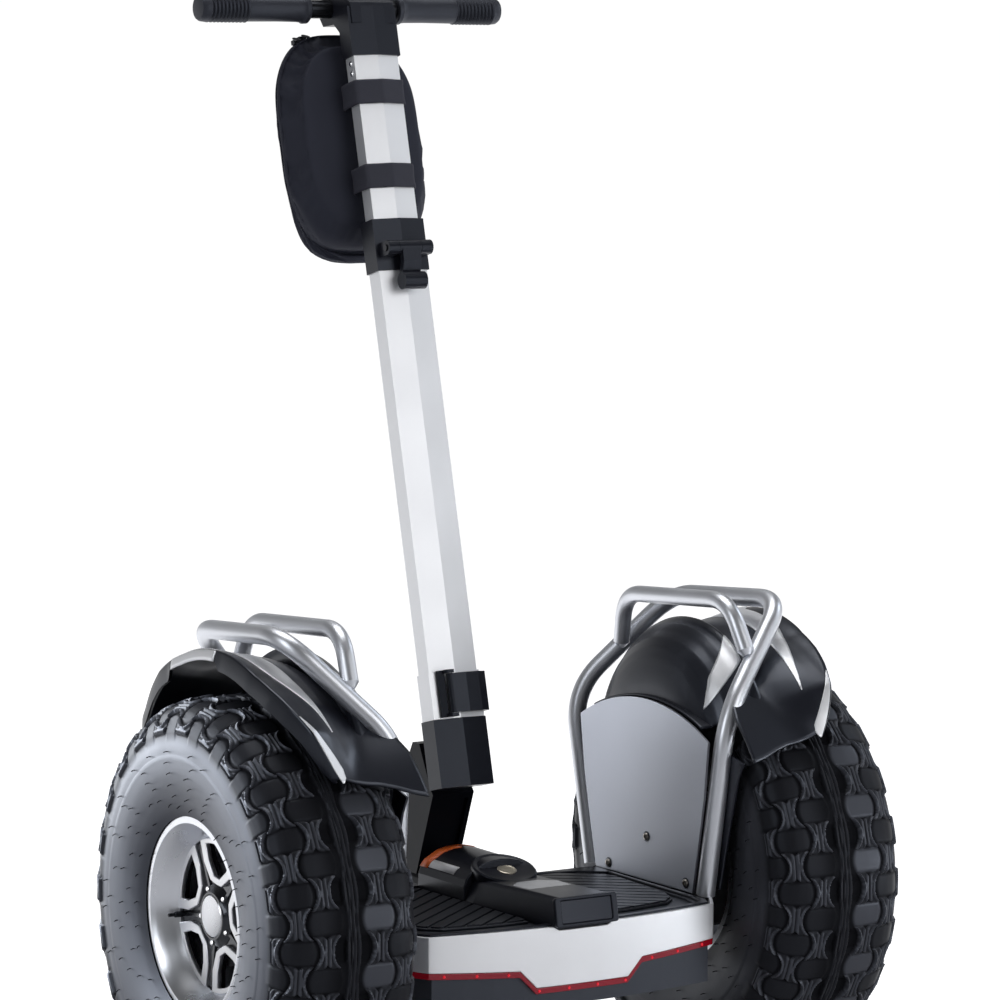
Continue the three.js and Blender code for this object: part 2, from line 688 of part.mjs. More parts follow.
const extent = new THREE.Box3().setFromObject(transporter);
transporter.position.y = -(extent.min.y + extent.max.y) / 2;

export default transporter;
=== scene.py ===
"""Looks of a two-wheeled self-balancing transporter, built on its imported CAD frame.

Sizes are millimetres in the machine's own layout: +X to the rider's right, +Y forward, +Z up,
the wheel axle at y = 0 and the ground at z = 0. place() turns them into the frame's metres.
"""
import json
from math import asin, copysign, cos, exp, hypot, log1p, pi, radians, sin, sqrt, tau

import bmesh
import bpy
import numpy as np
from mathutils import Matrix, Vector
from mathutils import noise as rough_noise

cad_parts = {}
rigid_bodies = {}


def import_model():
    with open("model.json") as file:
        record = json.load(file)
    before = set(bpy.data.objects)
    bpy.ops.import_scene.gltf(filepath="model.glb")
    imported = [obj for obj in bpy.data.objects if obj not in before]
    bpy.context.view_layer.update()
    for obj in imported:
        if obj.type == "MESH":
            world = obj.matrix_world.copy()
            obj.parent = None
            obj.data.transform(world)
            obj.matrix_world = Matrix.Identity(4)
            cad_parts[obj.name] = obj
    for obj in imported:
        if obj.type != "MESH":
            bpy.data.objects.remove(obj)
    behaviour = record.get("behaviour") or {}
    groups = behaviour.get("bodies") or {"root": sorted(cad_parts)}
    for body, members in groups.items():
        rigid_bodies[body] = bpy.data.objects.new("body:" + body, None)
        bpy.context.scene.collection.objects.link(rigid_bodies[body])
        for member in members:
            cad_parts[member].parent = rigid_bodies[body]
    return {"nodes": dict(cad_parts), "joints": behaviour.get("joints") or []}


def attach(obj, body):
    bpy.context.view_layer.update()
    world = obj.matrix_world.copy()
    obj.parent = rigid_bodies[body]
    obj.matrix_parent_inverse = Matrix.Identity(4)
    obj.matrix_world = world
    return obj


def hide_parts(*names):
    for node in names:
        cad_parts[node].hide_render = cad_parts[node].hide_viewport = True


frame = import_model()
scene = bpy.context.scene
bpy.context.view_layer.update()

NODES = frame["nodes"]
AXLE_Y = next(j["pos_m"][1] for j in frame["joints"] if j["name"] == "right_wheel_spin")

MM = 0.001
AXLE_Z = 241.0
WHEEL_X = 322.5
SIDES = (("right", 1), ("left", -1))

LEAN = radians(13.8)
COLUMN_FOOT = Vector((0, 86.8, 350))
COLUMN_TURN = Matrix.Rotation(-LEAN, 3, "X")


# ---- placing and mesh helpers

def place(point):
    x, y, z = point
    return (x * MM, y * MM + AXLE_Y, z * MM)


def on_column(point):
    """A point given from the column's foot, with z along the column, in the machine's layout."""
    return COLUMN_FOOT + COLUMN_TURN @ Vector(point)


ON_MAST = {"body": "mast", "put": on_column}


def smooth_step(low, high, value):
    t = np.clip((value - low) / (high - low), 0.0, 1.0)
    return t * t * (3.0 - 2.0 * t)


def add_object(name, data):
    made = bpy.data.objects.new(name, data)
    scene.collection.objects.link(made)
    return made


def dress(thing, finish, sharp, bevel):
    """Gives a thing its finish and rounded edges; sharp is the angle from which an edge shows."""
    mesh = thing.data
    mesh.materials.clear()
    mesh.materials.append(finish)
    mesh.polygons.foreach_set("use_smooth", [True] * len(mesh.polygons))
    mesh.set_sharp_from_angle(angle=radians(sharp))
    if bevel:
        soften(thing, bevel)


def show(name, mesh, finish, body="chassis", sharp=30.0, bevel=0.0, replaces=(), origin=None):
    """Links a mesh already in the frame's metres as a piece on a body. origin is where the
    mesh's own zero goes."""
    made = add_object(name, mesh)
    if origin:
        made.matrix_world = Matrix.Translation(place(origin))
    dress(made, finish, sharp, bevel)
    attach(made, body)
    if replaces:
        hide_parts(*replaces)
    return made


def piece(name, points, faces, finish, body="chassis", put=None, tidy=True, origin=None, **how):
    """A mesh piece from points in the machine's layout, riding on a body of the frame.
    tidy welds its points and turns its faces outwards."""
    mesh = bpy.data.meshes.new(name)
    placed = [place(put(p) if put else p) for p in points]
    mesh.from_pydata(placed, [], faces)
    if tidy:
        work = bmesh.new()
        work.from_mesh(mesh)
        bmesh.ops.remove_doubles(work, verts=work.verts, dist=1e-6)
        bmesh.ops.recalc_face_normals(work, faces=work.faces)
        work.to_mesh(mesh)
        work.free()
    mesh.validate()
    if origin:
        mesh.transform(Matrix.Translation(-Vector(place(origin))))
    return show(name, mesh, finish, body, origin=origin, **how)


def assign(target, **settings):
    for name, setting in settings.items():
        setattr(target, name, setting)


def soften(thing, width):
    """Rounds the hard edges of a piece by a bevel of the given width in millimetres."""
    assign(thing.modifiers.new("edges", "BEVEL"), width=width * MM, segments=3,
           limit_method="ANGLE", angle_limit=radians(28), harden_normals=True,
           use_clamp_overlap=True)


def grid_faces(rows, columns, wrap_rows=False, wrap_columns=False):
    faces = []
    for row in range(rows if wrap_rows else rows - 1):
        after = (row + 1) % rows
        for column in range(columns if wrap_columns else columns - 1):
            beside = (column + 1) % columns
            faces.append((row * columns + column, row * columns + beside,
                    after * columns + beside, after * columns + column))
    return faces


def joined(points, faces, more):
    """Adds more points and faces to the ones already gathered."""
    start = len(points)
    points += more[0]
    faces += [tuple(start + i for i in face) for face in more[1]]


def on_axis(axis, along, a, b):
    return {"X": (along, a, b), "Y": (a, along, b), "Z": (a, b, along)}[axis]


def lathe(name, profile, axis, centre, finish, body="chassis", sides=96, **how):
    """Turns a profile of (station along the axis, radius) about an X, Y or Z axis."""
    points = []
    for k in range(sides):
        turn = tau * k / sides
        c, s = cos(turn), sin(turn)
        a, b = (s, c) if axis == "Y" else (c, s)
        points += [Vector(centre) + Vector(on_axis(axis, along, radius * a, radius * b))
                for along, radius in profile]
    faces = grid_faces(sides, len(profile), wrap_rows=True, wrap_columns=True)
    return piece(name, points, faces, finish, body, **how)


def lofted(sections, caps=True):
    """Points and faces of a skin over closed sections of the same number of points."""
    count = len(sections[0])
    points = [p for section in sections for p in section]
    faces = grid_faces(len(sections), count, wrap_columns=True)
    if caps:
        last = len(points) - count
        faces.append(tuple(reversed(range(count))))
        faces.append(tuple(range(last, last + count)))
    return points, faces


def loft(name, sections, finish, body="chassis", caps=True, **how):
    return piece(name, *lofted(sections, caps), finish, body, **how)


def prism(name, outline, axis, low, high, finish, body="chassis", **how):
    """An outline drawn across an axis, running from low to high along it."""
    sections = [[on_axis(axis, along, a, b) for a, b in outline] for along in (low, high)]
    return loft(name, sections, finish, body, **how)


def filleted(points, steps=10):
    """A path through points (x, y, z, optional reach of the bend), with its corners rounded."""
    path = [Vector(points[0][:3])]
    for before, corner, after in zip(points, points[1:], points[2:]):
        here = Vector(corner[:3])
        first = here + (Vector(before[:3]) - here).normalized() * corner[3]
        last = here + (Vector(after[:3]) - here).normalized() * corner[3]
        for k in range(steps + 1):
            t = k / steps
            path.append(first * (1 - t) ** 2 + here * (2 * t * (1 - t)) + last * t ** 2)
    path.append(Vector(points[-1][:3]))
    return path


def tube_sections(path, radius, sides=24):
    """Rings of points round a path; radius is a number or a list with one per point."""
    radii = radius if isinstance(radius, (list, tuple)) else [radius] * len(path)
    path = [Vector(p) for p in path]
    across = None
    rings = []
    for k, point in enumerate(path):
        run = (path[min(k + 1, len(path) - 1)] - path[max(k - 1, 0)]).normalized()
        if across is None:
            across = run.orthogonal().normalized()
        across = (across - run * across.dot(run)).normalized()
        other = run.cross(across)
        rings.append([point + (across * cos(a) + other * sin(a)) * radii[k]
                for a in (tau * i / sides for i in range(sides))])
    return rings


def tube(name, path, radius, finish, body="chassis", sides=24, **how):
    return loft(name, tube_sections(path, radius, sides), finish, body, **how)


def plate(name, outlines, thick, bevel, to_place, finish, body="chassis", **how):
    """A flat plate with holes and rounded edges. outlines are closed lists of (u, v), and
    to_place is the 4x4 matrix, in millimetres, that puts u, v and the plate's normal in place."""
    curve = bpy.data.curves.new(name, "CURVE")
    assign(curve, dimensions="2D", fill_mode="BOTH", extrude=thick / 2 - bevel,
           bevel_depth=bevel, bevel_resolution=2, offset=-bevel)
    for outline in outlines:
        spline = curve.splines.new("POLY")
        spline.points.add(len(outline) - 1)
        for target, (u, v) in zip(spline.points, outline):
            target.co = (u, v, 0, 1)
        spline.use_cyclic_u = True
    holder = add_object(name, curve)
    bpy.context.view_layer.update()
    ready = holder.evaluated_get(bpy.context.evaluated_depsgraph_get())
    mesh = bpy.data.meshes.new_from_object(ready)
    bpy.data.objects.remove(holder)
    mesh.transform(to_place)
    for vertex in mesh.vertices:
        vertex.co = place(vertex.co)
    if to_place.determinant() < 0:
        mesh.flip_normals()
    return show(name, mesh, finish, body, **how)


# ---- finishes

def add_node(tree, kind, values, result=None, **settings):
    """Adds a shader node and returns one of its outputs, or the node itself. Each of values is a
    number, a colour, or another node's output."""
    made = tree.nodes.new("ShaderNode" + kind)
    assign(made, **settings)
    feed(tree, made, values)
    return made.outputs[result] if result else made


def feed(tree, node, values):
    for name, value in values.items():
        if isinstance(value, bpy.types.NodeSocket):
            tree.links.new(value, node.inputs[name])
        else:
            node.inputs[name].default_value = value


def map_range(tree, value, start, end, low, high, smooth=True):
    return add_node(tree, "MapRange", {"Value": value, "From Min": start, "From Max": end,
            "To Min": low, "To Max": high}, "Result",
            interpolation_type="SMOOTHSTEP" if smooth else "LINEAR")


def multiplied(tree, first, second):
    return add_node(tree, "Math", {0: first, 1: second}, "Value", operation="MULTIPLY")


def material(slot, colour, rough, metal=0.0, mottle=0.03, tint=0.05, coat=0.0, grain=0.0,
        grain_size=0.6, light=0.0, shine=0.5, light_painted=False, name=None):
    """A surface whose colour and roughness wander a little, with a fine grain as relief.
    grain is its height and grain_size its width, in millimetres.
    Where that flag is set, its colour and shine follow a point attribute of the mesh which paints
    highlight and shade into it: higher values paler and shinier, lower ones darker."""
    made = bpy.data.materials.new(name or slot.replace("_", " "))
    made["slot"] = slot
    made.use_nodes = True
    tree = made.node_tree
    where = add_node(tree, "TexCoord", {}, "Object")
    drift = add_node(tree, "TexNoise", {"Scale": 14, "Detail": 4, "Vector": where}, "Fac")
    # Painted highlight and shade: a point attribute of the mesh lightens, darkens and adds shine
    # to the colour.
    painted_light = add_node(tree, "Attribute", {}, "Fac", attribute_name="painted_light") if light_painted else None
    shade = add_node(tree, "Mix", {"Factor": painted_light if light_painted else drift}, data_type="RGBA")
    shade.inputs["A"].default_value = (*[c * (1 - tint) for c in colour], 1)
    shade.inputs["B"].default_value = (*[min(c * (1 + tint), 1) for c in colour], 1)
    shader = tree.nodes["Principled BSDF"]
    feed(tree, shader, {
        "Base Color": shade.outputs["Result"], "Metallic": metal,
        "Roughness": map_range(tree, drift, 0.3, 0.7, max(rough - mottle, 0.02),
            min(rough + mottle, 1.0), smooth=False),
        "Specular IOR Level": multiplied(tree, painted_light, shine) if light_painted else shine,
        "Coat Weight": coat, "Coat Roughness": 0.06})
    if not metal:
        feed(tree, shader, {"Specular Tint": (0.77, 0.84, 1.0, 1)})
    if grain:
        spread = add_node(tree, "Mapping", {"Vector": where, "Scale": [1 / (grain_size * MM)] * 3},
                "Vector")
        fine = add_node(tree, "TexNoise", {"Scale": 1, "Detail": 2, "Vector": spread}, "Fac")
        relief = add_node(tree, "Bump", {"Strength": 1, "Distance": grain * MM, "Height": fine},
                "Normal")
        feed(tree, shader, {"Normal": relief})
    if light:
        feed(tree, shader, {"Emission Color": (*colour, 1), "Emission Strength": light})
    return made


# The tyre's colour and shine follow the tread mesh's point attribute of painted highlight and
# shade.
SIDEWALL = material("tyre_rubber", (0.018, 0.0185, 0.0225), 0.43, mottle=0.05, tint=0.6,
        grain=0.04, grain_size=1.2, light_painted=True)
POLISHED = material("cast_alloy", (0.86, 0.88, 0.93), 0.28, 1.0, name="polished alloy")
MACHINED = material("cast_alloy", (0.92, 0.93, 0.96), 0.34, 1.0, name="machined alloy")
RIM_BLACK = material("cast_alloy", (0.006, 0.006, 0.007), 0.22, coat=0.5, name="rim black")
TURNED = material("turned_alloy", (0.74, 0.75, 0.78), 0.28, 1.0)
STEEL = material("machined_steel", (0.62, 0.63, 0.65), 0.3, 1.0)
MOTOR = material("motor_casting", (0.05, 0.05, 0.055), 0.5, 0.4, grain=0.1, grain_size=1.5)
CASE = material("case_grey", (0.040, 0.043, 0.053), 0.45, grain=0.03, shine=0.4)
SATIN = material("satin_aluminium", (0.86, 0.87, 0.90), 0.42, 0.70, grain=0.012,
        grain_size=0.35)
RED = material("red_lens", (0.27, 0.002, 0.010), 0.12, coat=0.4, light=0.09)
MAT = material("mat_rubber", (0.012, 0.0125, 0.016), 0.42, grain=0.03)
MATTE = material("matte_black_plastic", (0.009, 0.0095, 0.014), 0.32, grain=0.02,
        grain_size=0.5, shine=0.36)
LAMP = material("lamp_lens", (0.012, 0.014, 0.022), 0.20, coat=0.10, shine=0.3)
BATTERY = material("battery_casing", (0.12, 0.14, 0.17), 0.5)
BOARD = material("circuit_board", (0.02, 0.12, 0.05), 0.4)
BUSH = material("bush_rubber", (0.02, 0.02, 0.02), 0.8)
PANEL = material("panel_grey", (0.125, 0.13, 0.148), 0.40, 0.45, grain=0.02, grain_size=0.4)
FRAME = material("frame_steel", (0.012, 0.012, 0.014), 0.5, 0.2)
RAIL = material("satin_rail", (0.75, 0.77, 0.82), 0.38, 0.88, grain=0.008, grain_size=0.4)
GLOSS = material("gloss_black_shell", (0.008, 0.0085, 0.013), 0.32, coat=0.08, mottle=0.0,
        shine=0.62)
CASTING = material("black_casting", (0.004, 0.0045, 0.007), 0.34, grain=0.02, grain_size=0.8,
        shine=0.12)
CHROME = material("bar_steel", (0.85, 0.85, 0.86), 0.08, 1.0, name="chrome")
BAR = material("bar_steel", (0.007, 0.007, 0.008), 0.3, shine=0.4, name="black bar")
GRIP = material("grip_rubber", (0.022, 0.023, 0.030), 0.48, grain=0.03, shine=0.5)
FABRIC = material("bag_fabric", (0.026, 0.027, 0.039), 0.68, grain=0.10, grain_size=0.7,
        shine=0.25)
WEBBING = material("strap_webbing", (0.042, 0.042, 0.054), 0.7, grain=0.2, grain_size=0.8,
        shine=0.25)
SCREW = material("machined_steel", (0.35, 0.33, 0.30), 0.3, 1.0, name="screw steel")
ORANGE = material("matte_black_plastic", (0.82, 0.15, 0.02), 0.4, name="orange stripe")
WHITE = material("matte_black_plastic", (0.62, 0.62, 0.64), 0.4, name="white stripe")
BADGE = material("matte_black_plastic", (0.50, 0.46, 0.38), 0.35, 0.8, name="badge metal")
GLOW = material("red_lens", (0.85, 0.012, 0.025), 0.3, light=0.34, name="strip light")
PALE = material("matte_black_plastic", (0.33, 0.34, 0.36), 0.22, name="pale grey panel")


# ---- CAD nodes shown as they are

BEVELS = (
    (STEEL, {"drive_shaft": 0.5, "front_bearing": 0.4, "rear_bearing": 0.4, "parking_stand": 0.8,
        "stand_pin": 0.3, "pivot_shaft": 0.6, "latch_pin": 0.3}),
    (MATTE, {"column_socket": 2.6, "latch_plate": 0.8, "latch_lever": 3.5, "clamp_collar": 1.4,
        "clamp_lever": 1.2, "top_cap": 1.6}),
    (CASE, {"chassis_case": 2.0, "front_panel": 1.2, "deck_plate": 1.0}),
    (MOTOR, {"hub": 1.0, "hub_motor": 2.0}), (FRAME, {"side_frame": 1.0}),
    (SATIN, {"lower_tube": 0.9, "upper_tube": 0.9}), (CASTING, {"column_bracket": 2.2}),
    (BAR, {"clamp_pin": 0.5, "handlebar": 0.0}), (CHROME, {"power_button": 0.5}),
    (BATTERY, {"battery_pack": 1.0}), (BOARD, {"control_board": 0.3}),
    (BUSH, {"centring_bush": 0.6}),
)
WIDE_BEVEL = 3.0
for finish, bevels in BEVELS:
    for part, bevel in bevels.items():
        for node in [part] if part in NODES else [f"{hand}_{part}" for hand, _ in SIDES]:
            dress(NODES[node], finish, 50 if bevel > WIDE_BEVEL else 32, bevel)


# ---- tyres

TYRE_RADIUS = 241.0
TREAD_PITCHES = 24
PITCH = tau * TYRE_RADIUS / TREAD_PITCHES
ROW = PITCH / 2
SEAM = -5.0
COLUMNS = (32.0, 63.5, 95.0)  # distances of the lugs from the seam
LUG_HEIGHT = 1.8
# (distance from the middle, radius), from the tread to the bead
SECTION = [(0, 241), (14, 241), (28, 240.8), (42, 239.8), (55, 237.6), (66, 233.6), (74, 228),
        (81, 218.5), (85.5, 206), (88.2, 191), (89, 176), (88.6, 162), (87, 148),
        (83.5, 132), (78.5, 119), (75, 113)]


def tyre_section(stations):
    """Points and outward normals of the tyre's section at distances from its centre line."""
    half = np.array(SECTION, float)
    steps = np.hypot(*np.diff(half, axis=0).T)
    knots = np.concatenate([[0], np.cumsum(steps)])
    fine = np.linspace(0, knots[-1], 600)
    run = np.stack([np.interp(fine, knots, half[:, i]) for i in (0, 1)], axis=1)
    ends = run[[0, -1]].copy()
    kernel = np.hanning(41) / np.hanning(41).sum()
    mirrored = np.concatenate([run[:0:-1] * [-1, 1], run])
    padded = np.pad(mirrored, ((20, 20), (0, 0)), mode="edge")
    soft = np.stack([np.convolve(padded[:, i], kernel, "valid") for i in (0, 1)], axis=1)
    run = soft[len(run) - 1:]
    run[-1] = ends[-1]
    reach = np.abs(stations)
    across = np.interp(reach, fine, run[:, 0]) * np.sign(stations)
    radius = np.interp(reach, fine, run[:, 1])
    slope = np.gradient(run, fine, axis=0)
    normal_a = np.interp(reach, fine, -slope[:, 1]) * np.sign(stations)
    normal_r = np.interp(reach, fine, slope[:, 0])
    length = np.hypot(normal_a, normal_r)
    return across, radius, normal_a / length, normal_r / length, knots[-1]


def inside(distance, edge=1.5):
    return smooth_step(0.0, edge, distance)


def lug_half(s, waist=8.0):
    """Half the width of an hourglass lug at a distance from its middle."""
    return waist + 22.0 - np.sqrt(22.0 ** 2 - np.clip(np.abs(s), 0, 18.0) ** 2)


def hourglass(s, t, centre, half_long=18.0, waist=8.0):
    """How far inside an hourglass lug a point is, and how far from its hollow sides."""
    side = lug_half(s, waist) - np.abs(t - centre)
    notch = 0.8 * np.abs(t - centre) + (half_long - np.abs(s)) - 4.0
    return np.minimum(np.minimum(half_long - np.abs(s), side), notch), side


def lug_relief(side, offset):
    """The top of an hourglass: a raised rim along each hollow side and two bars between."""
    reach = np.abs(offset)
    rim = 2.6 * (1 - smooth_step(2.8, 4.4, side))
    bars = 1.7 * smooth_step(0.4, 1.5, reach) * (1 - smooth_step(3.4, 4.8, reach))
    return LUG_HEIGHT + np.maximum(rim, bars)


def tread_height(s, t):
    """Height of the tread over the tyre's smooth section, for distances round and across it,
    and how much painted light it gets there: painted highlight on the sidewalls, lug rims, rib and
    some pads, painted shade on the rest of the tread."""
    row_a = (s + PITCH / 2) % PITCH - PITCH / 2
    row_b = (s + PITCH / 2 + ROW) % PITCH - PITCH / 2
    offset = t - SEAM
    reach = np.abs(offset)
    height = np.zeros_like(s)

    # Painted light: the sidewalls paler and shinier than the tread, whose darkness is painted
    # shade.
    painted_light = 0.06 + 0.94 * smooth_step(98, 114, np.abs(t))

    swell = 1 - smooth_step(8, 17, np.abs(row_a))
    hollow = smooth_step(8.5, 10, reach) * (1 - smooth_step(20, 27, reach))
    height -= 3.4 * hollow * swell
    for row, centre in ((row_b, COLUMNS[0]), (row_a, COLUMNS[1]), (row_b, COLUMNS[2])):
        pad = np.minimum(14.0 - np.abs(row), 29.0 - lug_half(row) - np.abs(reach - centre))
        raised = smooth_step(-1.5, 3.5, pad) * (1 - smooth_step(92, 108, reach))
        height += 1.4 * raised
        # Painted highlight on the inner pads past the seam; elsewhere a faint painted sheen on the
        # pads that fades to painted shade toward the seam.
        lit = np.where((offset > 0) & (centre < 60), 1.3, 0.30 * smooth_step(6, 45, reach))
        painted_light = np.maximum(painted_light, lit * raised)

    for row, centre in ((row_a, COLUMNS[0]), (row_b, COLUMNS[1]), (row_a, COLUMNS[2])):
        lug, side = hourglass(row, reach, centre)
        if centre == COLUMNS[2]:
            lug = np.minimum(lug, centre + 3.0 - reach)
        top = lug_relief(side, reach - centre)
        on_lug = inside(lug, 1.2) * (lug > 0)
        height += (np.maximum(top, height) - height) * on_lug
        # Painted highlight along the raised rims of the lugs.
        painted_light += (0.36 + 0.62 * (top - LUG_HEIGHT) - painted_light) * on_lug

    wave = 1.6 * np.cos(tau * s / PITCH)
    rib = 8.4 + wave - reach
    height += 2.2 * smooth_step(0.0, 1.5, rib)
    # A faint painted highlight on the rib.
    painted_light = np.maximum(painted_light, 0.35 * smooth_step(0.0, 1.5, rib))
    for line in (-4.6, -1.4, 3.4):
        height -= 1.9 * np.exp(-((offset - line - 0.4 * wave) / 0.8) ** 2)
    for ring in (128.0, 166.0, 186.0):
        height += 0.7 * np.exp(-((np.abs(t) - ring) / 1.0) ** 2)
    return height, painted_light


def tyre_mesh(coarse):
    round_count = TREAD_PITCHES * (20 if coarse else 48)
    step = 3.0 if coarse else 1.3
    total = tyre_section(np.array([0.0]))[4]
    inner = np.arange(0, 127, step)
    outer = np.linspace(127, total, 18)
    half = np.concatenate([inner, outer])
    stations = np.concatenate([-half[:0:-1], half])
    across, radius, normal_a, normal_r, total = tyre_section(stations)
    turn = tau * np.arange(round_count) / round_count
    s, t = np.meshgrid(turn * TYRE_RADIUS, stations, indexing="ij")
    height, painted_light = tread_height(s, t)
    out_a = across[None, :] + normal_a[None, :] * height
    out_r = radius[None, :] + normal_r[None, :] * height
    layout = (out_a, out_r * np.cos(turn)[:, None], out_r * np.sin(turn)[:, None])
    points = np.stack(layout, axis=-1).reshape(-1, 3) * MM
    faces = grid_faces(round_count, len(stations), wrap_rows=True)
    mesh = bpy.data.meshes.new("tyre")
    mesh.from_pydata(points.tolist(), [], faces)
    # The painted highlight and shade of the tread go on the mesh as a point attribute for the tyre
    # material.
    mesh.attributes.new("painted_light", "FLOAT", "POINT").data.foreach_set("value", painted_light.ravel())
    return mesh


shared_tyre = tyre_mesh(coarse=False)
for hand, side in SIDES:
    show(f"{hand}_tyre_tread", shared_tyre, SIDEWALL, f"{hand}_wheel", sharp=60,
         replaces=[f"{hand}_tyre"], origin=(side * WHEEL_X, 0, AXLE_Z))


def vent_hairs(name, side, body):
    """The thin rubber hairs that moulding leaves on the sidewalls and the shoulders."""
    circles = ((134, 18), (146, 20), (158, 22), (171, 24), (184, 26), (121, 24))
    points, faces = [], []
    for face_side in (1, -1):
        for ring, (station, count) in enumerate(circles):
            for k in range(count):
                seed = Vector((ring * 3.7, k * 1.3, face_side))
                shift = rough_noise.noise(seed)
                turn = tau * (k + 0.5 * (ring % 2) + 0.5 * shift) / count
                along = np.array([station + 5.0 * shift])
                a, r, na, nr, _ = tyre_section(along)
                root = Vector((a[0] * face_side, -r[0] * cos(turn), r[0] * sin(turn)))
                out = Vector((na[0] * face_side, -nr[0] * cos(turn), nr[0] * sin(turn)))
                droop = Vector((0, 0.35 * shift, -0.25 + 0.3 * shift))
                tip = root + (out + droop).normalized() * 5.0
                rings = tube_sections([root - out, root + out * 2, tip], 0.55, 5)
                hair = lofted(rings, caps=False)
                hair[1].append(tuple(range(10, 15)))
                joined(points, faces, hair)
    centre = Vector((side * WHEEL_X, 0, AXLE_Z))
    piece(name, [centre + p for p in points], faces, SIDEWALL, body, tidy=False)


# ---- rims

def in_wheel(side):
    return lambda p: (side * (WHEEL_X + p[0]), p[1], AXLE_Z + p[2])


def polar(radius, degrees):
    """A point of the wheel's face, with angles from the rear horizontal towards the top."""
    turn = radians(degrees)
    return (-radius * cos(turn), radius * sin(turn))


def arc(radius, start, end, steps):
    return [polar(radius, start + (end - start) * k / steps) for k in range(steps + 1)]


WINDOW_AT = [81 + 72 * k for k in range(5)]
# (distance out from the wheel's middle, radius), once round the section
BARREL = [(74, 107.6), (73.6, 113.0), (72.6, 113.5), (70, 113.5), (66, 110), (65.5, 101.6),
        (40, 101.6), (30, 92), (-22, 92), (-34, 101.6), (-65.5, 101.6), (-70, 113.5),
        (-74, 113.0), (-74, 105), (-70, 102.5), (-34, 96), (-22, 87.2), (42, 86.5), (46, 86.6),
        (47.2, 87.6), (54, 91.5), (63, 97.2), (68, 100.4), (70.6, 102.6), (72.6, 104.4),
        (73.8, 105.4)]


HALF_SPAN = 36
HALF_CHANNEL = 6.5


def window(middle, grow):
    reach = [(80.5 + grow, -22 - grow), (80.5 + grow, 22 + grow), (62, 20 + grow),
            (45.5 - grow, 9 + grow), (45.5 - grow, -9 - grow), (62, -20 - grow)]
    outer = arc(reach[0][0], middle + reach[0][1], middle + reach[1][1], 8)
    return outer + [polar(r, middle + a) for r, a in reach[2:]]


def spoke_frame(middle):
    outer, inner, waist = (HALF_SPAN - asin(HALF_CHANNEL * width / radius) * (180 / pi)
            for width, radius in ((1.25, 86), (1, 40), (0.9, 62)))
    corners = ((62, waist), (40, inner * 0.72), (37.2, 8), (37.2, -8), (40, -inner * 0.72),
            (62, -waist))
    return (arc(86.4, middle - outer, middle + outer, 14)
            + [polar(radius, middle + turn) for radius, turn in corners])


def wheel_plane(side, station):
    return Matrix(((0, 0, side, side * (WHEEL_X + station)), (1, 0, 0, 0),
            (0, 1, 0, AXLE_Z), (0, 0, 0, 1)))


for hand, side in SIDES:
    body = f"{hand}_wheel"
    into = in_wheel(side)
    hub_at = (0, 0, 0)
    vent_hairs(f"{hand}_tyre_hairs", side, body)
    lathe(f"{hand}_rim_barrel", BARREL, "X", hub_at, POLISHED, body, sides=160,
          put=into, sharp=24, replaces=[f"{hand}_wheel_rim"])
    plate(f"{hand}_rim_web", [arc(86.2, 0, 358, 89)] + [window(m, 1.6) for m in WINDOW_AT],
          7, 0.8, wheel_plane(side, 40), RIM_BLACK, body)
    faces_of = [spoke_frame(m) for m in WINDOW_AT] + [window(m, 0) for m in WINDOW_AT]
    plate(f"{hand}_rim_frames", faces_of, 6, 1.0, wheel_plane(side, 45.4), MACHINED, body)
    ribs = [[polar(radius, m + HALF_SPAN + a)
            for radius, a in ((84, -1.6), (84, 1.6), (30, 5), (30, -5))] for m in WINDOW_AT]
    plate(f"{hand}_rim_channels", ribs, 3, 0.6, wheel_plane(side, 44), RIM_BLACK, body)
    lathe(f"{hand}_hub_bezel", [(42, 36), (44, 36), (46, 33.5), (48.5, 28.5), (51, 26.6),
          (51, 24.4), (46, 24.4), (42, 24.4)], "X", hub_at, RIM_BLACK, body, sides=80, put=into)
    lathe(f"{hand}_cap_face", [(46.5, 0), (46.5, 23.7), (50.6, 23.7), (51.6, 22.6),
          (52.0, 18), (52.3, 9), (52.4, 0)], "X", hub_at, TURNED, body, put=into,
          replaces=[f"{hand}_centre_cap"], origin=(side * WHEEL_X, 0, AXLE_Z))
    for k, middle in enumerate(WINDOW_AT):
        u, v = polar(31.4, middle + HALF_SPAN)
        nut = [(45, 0), (45, 3.2), (48.6, 3.2), (49.4, 2.2), (49.4, 0)]
        lathe(f"{hand}_lug_nut_{k + 1}", nut, "X", (0, u, v), CHROME, body, sides=6,
              put=into, sharp=20)
    u, v = polar(80, 188)
    lathe(f"{hand}_valve", [(40, 0), (40, 3.4), (56, 3.4), (57, 2.6), (57, 2.0), (64, 2.0),
          (64.6, 1.2), (64.6, 0)], "X", (0, u, v), BAR, body, sides=20, put=into)


# ---- hoops over the wheels

GUARD = [(208, -117, 226), (216, -147, 438, 46), (331, -90, 560, 42), (323, 126, 546, 42),
        (215, 181, 428, 46), (208, 124, 226)]
GRAB = [(262, -117, 508), (257, -90, 563, 34), (255, 128, 550, 34), (262, 146, 489)]


def mirror(side):
    return lambda p: (side * p[0], p[1], p[2])


for hand, side in SIDES:
    flip = mirror(side)
    tube(f"{hand}_guard_tube", filleted(GUARD, 14), 11, RAIL, sides=36,
         put=flip, replaces=[f"{hand}_guard_hoop"])
    path = filleted(GRAB, 14)
    first = path[0] + (path[0] - path[1]).normalized() * 7
    last = path[-1] + (path[-1] - path[-2]).normalized() * 7
    tube(f"{hand}_grab_tube", [first] + path + [last], [5] + [10] * len(path) + [5], RAIL,
         sides=32, put=flip, replaces=[f"{hand}_grab_hoop"])


# ---- fenders and inner covers

FENDER_Z = 322.0
